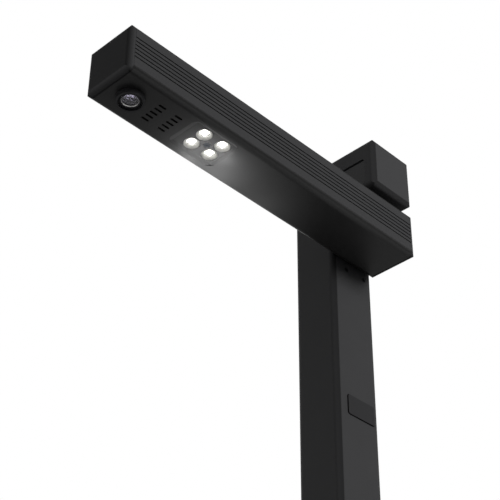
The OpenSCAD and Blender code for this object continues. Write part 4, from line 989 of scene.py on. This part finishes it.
def ceramic_carrier():
    """Matte white ceramic with a fine sintered grain."""
    material, tree, place = new_material("ceramic_carrier")
    grain = add_node(tree, "ShaderNodeTexNoise", {"Vector": place, "Scale": 1 / (CERAMIC_GRAIN_MM * MM)})
    relief = add_node(tree, "ShaderNodeBump", {
        "Height": grain.outputs["Fac"], "Strength": CERAMIC_RELIEF_SHARE,
        "Distance": CERAMIC_RELIEF_MM * MM})
    shader = add_node(tree, "ShaderNodeBsdfPrincipled", {
        "Base Color": linear(CERAMIC_COLOUR), "Roughness": CERAMIC_ROUGHNESS,
        "Normal": relief.outputs["Normal"]})
    close_material(tree, shader.outputs["BSDF"])
    return material


def light_chips():
    """The chips' carriers and their pads, as two pieces."""
    carriers = bmesh.new()
    pads = bmesh.new()
    for low, high in solids_of("lamp_chips"):
        split = high.z - CARRIER_MM * MM
        add_block(carriers, Vector((low.x, low.y, split)), high, CARRIER_EDGE_MM * MM)
        add_block(pads, low, Vector((high.x, high.y, split)), PAD_EDGE_MM * MM)
    return finish_shape("lamp_chip_carriers", carriers), finish_shape("lamp_chip_pads", pads)


def light_on_underside():
    """The light that comes back to the underside from the page, carried by small unseen lamps."""
    glowing = bpy.data.collections.new("glow_receivers")
    for name in ("arm_underside_cover", "lamp_screw"):
        glowing.objects.link(nodes[name])
    for name, (offset, power) in GLOW_LAMPS.items():
        data = bpy.data.lights.new(name, "AREA")
        data.shape = "DISK"
        data.size = GLOW_DISC_MM * MM
        data.energy = power
        lamp = bpy.data.objects.new(name, data)
        bpy.context.scene.collection.objects.link(lamp)
        lamp.location = arm_corner + Vector(offset) * MM
        lamp.rotation_euler = (math.pi, 0, 0)
        lamp.visible_camera = False
        lamp.visible_glossy = False
        lamp.light_linking.receiver_collection = glowing
        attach(lamp, "arm")


chip_carriers, chip_pads = light_chips()
dress(worked_metal("bare_aluminium", *BARE_ALUMINIUM), "lamp_board", "lamp_heat_spreader")
dress(white_polycarbonate(), "lamp_reflector")
dress(zinc_plate, "lamp_screw")
seat(chip_carriers, ceramic_carrier(), "arm", "lamp_chip", "lamp_chips")
seat(chip_pads, lit_phosphor(), "arm", "lamp_chip")
light_on_underside()


# Main board
# The main circuit board is glass epoxy under green solder mask, like the others, with its chips moulded
# in black plastic. It slides into the channel's rails before the rear cap closes it.

dress(circuit_board, "arm_main_board")
dress(black_nylon, "main_board_chips")


# Studio
# A large pale table that can be seen from above only, a white surround, and soft boxes: a strong one
# low on the arm's side of the column, one overhead and weak ones in front, behind and on the left.

FLOOR_HALF = 4.0
FLOOR_COLOUR = "#f4f4f4"
FLOOR_FADE = (0.35, 1.1)
FLOOR_MIRRORED_COLOUR = "#b2b2b2"
FLOOR_BOUNCE_COLOUR = "#565656"
SURROUND_COLOUR = "#ffffff"
AMBIENT = 0.3
GLOSSY_SHARE = 0.12
BACKDROP_WAY = (-0.57, 0.58, 0.58)
BACKDROP_EDGE = (0.8, 0.9)
BACKDROP_GLOSS = 1.0
LAMP_TARGET = Vector((0.0, 0.03, 0.3))
# Place and side in metres, power in watts, and whether glossy faces mirror it
SOFT_BOXES = {
    "side_box": ((1.55, 0.5, 0.9), 0.6, 25.5, False),
    "top_box": ((0.1, 0.2, 1.9), 1.4, 1.2, True),
    "front_box": ((-0.3, -1.5, 0.15), 1.0, 3.0, True),
    "left_box": ((-1.5, -0.3, 0.9), 1.0, 2.0, True),
    "back_box": ((0.2, 1.6, 0.6), 1.0, 2.2, True),
}


def seen_directly(tree, rays):
    """One for rays that come from the camera or through glass, else nought."""
    return add_node(tree, "ShaderNodeMath", {
        0: rays.outputs["Is Camera Ray"], 1: rays.outputs["Is Transmission Ray"]},
        operation="MAXIMUM").outputs["Value"]


def pale_table():
    """The table that the scanner stands on, fading into the surround."""
    shape = bmesh.new()
    bmesh.ops.create_grid(shape, x_segments=2, y_segments=2, size=FLOOR_HALF)
    table = finish_shape("pale_table", shape)
    material, tree, place = new_material("pale_table")
    rays = add_node(tree, "ShaderNodeLightPath", {})
    seen = seen_directly(tree, rays)
    bounced = add_node(tree, "ShaderNodeMixRGB", {
        "Fac": rays.outputs["Is Glossy Ray"], "Color1": linear(FLOOR_BOUNCE_COLOUR),
        "Color2": linear(FLOOR_MIRRORED_COLOUR)})
    colour = add_node(tree, "ShaderNodeMixRGB", {
        "Fac": seen, "Color1": bounced.outputs["Color"], "Color2": linear(FLOOR_COLOUR)})
    top = add_node(tree, "ShaderNodeBsdfDiffuse", {"Color": colour.outputs["Color"]})
    clear = add_node(tree, "ShaderNodeBsdfTransparent", {})
    side = add_node(tree, "ShaderNodeNewGeometry", {})
    reach = add_node(tree, "ShaderNodeVectorMath", {0: place}, operation="LENGTH")
    fade = add_node(tree, "ShaderNodeMapRange", {
        "Value": reach.outputs["Value"], "From Min": FLOOR_FADE[0], "From Max": FLOOR_FADE[1]},
        interpolation_type="SMOOTHSTEP")
    faded = add_node(tree, "ShaderNodeMath", {0: fade.outputs["Result"], 1: seen}, operation="MULTIPLY")
    open_share = add_node(tree, "ShaderNodeMath", {
        0: faded.outputs["Value"], 1: side.outputs["Backfacing"]}, operation="MAXIMUM")
    mix = add_node(tree, "ShaderNodeMixShader", {
        0: open_share.outputs["Value"], 1: top.outputs["BSDF"], 2: clear.outputs["BSDF"]})
    close_material(tree, mix.outputs["Shader"])
    table.data.materials.append(material)


def surround():
    """White to the camera and through glass, soft ambient light, and one bright patch to mirror."""
    world = bpy.data.worlds.new("surround")
    world.use_nodes = True
    tree = world.node_tree
    tree.nodes.clear()
    rays = add_node(tree, "ShaderNodeLightPath", {})
    glossy = rays.outputs["Is Glossy Ray"]
    gloss = add_node(tree, "ShaderNodeMath", {0: glossy, 1: GLOSSY_SHARE}, operation="MULTIPLY")
    shown = add_node(tree, "ShaderNodeMath", {
        0: seen_directly(tree, rays), 1: gloss.outputs["Value"]}, operation="MAXIMUM")
    strength = add_node(tree, "ShaderNodeMath", {0: shown.outputs["Value"], 1: AMBIENT},
                        operation="MAXIMUM")
    way = add_node(tree, "ShaderNodeTexCoord", {}).outputs["Generated"]
    ahead = add_node(tree, "ShaderNodeVectorMath", {0: way, 1: BACKDROP_WAY}, operation="DOT_PRODUCT")
    panel = add_node(tree, "ShaderNodeMapRange", {
        "Value": ahead.outputs["Value"], "From Min": BACKDROP_EDGE[0], "From Max": BACKDROP_EDGE[1],
        "To Max": BACKDROP_GLOSS})
    mirrored = add_node(tree, "ShaderNodeMath", {0: glossy, 1: panel.outputs["Result"]},
                        operation="MULTIPLY")
    lit = add_node(tree, "ShaderNodeMath", {
        0: strength.outputs["Value"], 1: mirrored.outputs["Value"]}, operation="MAXIMUM")
    light = add_node(tree, "ShaderNodeBackground", {
        "Color": linear(SURROUND_COLOUR), "Strength": lit.outputs["Value"]})
    add_node(tree, "ShaderNodeOutputWorld", {"Surface": light.outputs["Background"]})
    bpy.context.scene.world = world


def soft_box(name, place, size, power, mirrored):
    """A square area lamp that looks at the scanner and isn't seen itself."""
    data = bpy.data.lights.new(name, "AREA")
    data.size = size
    data.energy = power
    lamp = bpy.data.objects.new(name, data)
    bpy.context.scene.collection.objects.link(lamp)
    lamp.location = place
    lamp.rotation_mode = "QUATERNION"
    lamp.rotation_quaternion = (LAMP_TARGET - Vector(place)).to_track_quat("-Z", "Y")
    lamp.visible_camera = False
    lamp.visible_glossy = mirrored


pale_table()
surround()
for lamp_name, lamp_settings in SOFT_BOXES.items():
    soft_box(lamp_name, *lamp_settings)
bpy.context.scene.view_settings.view_transform = "Standard"
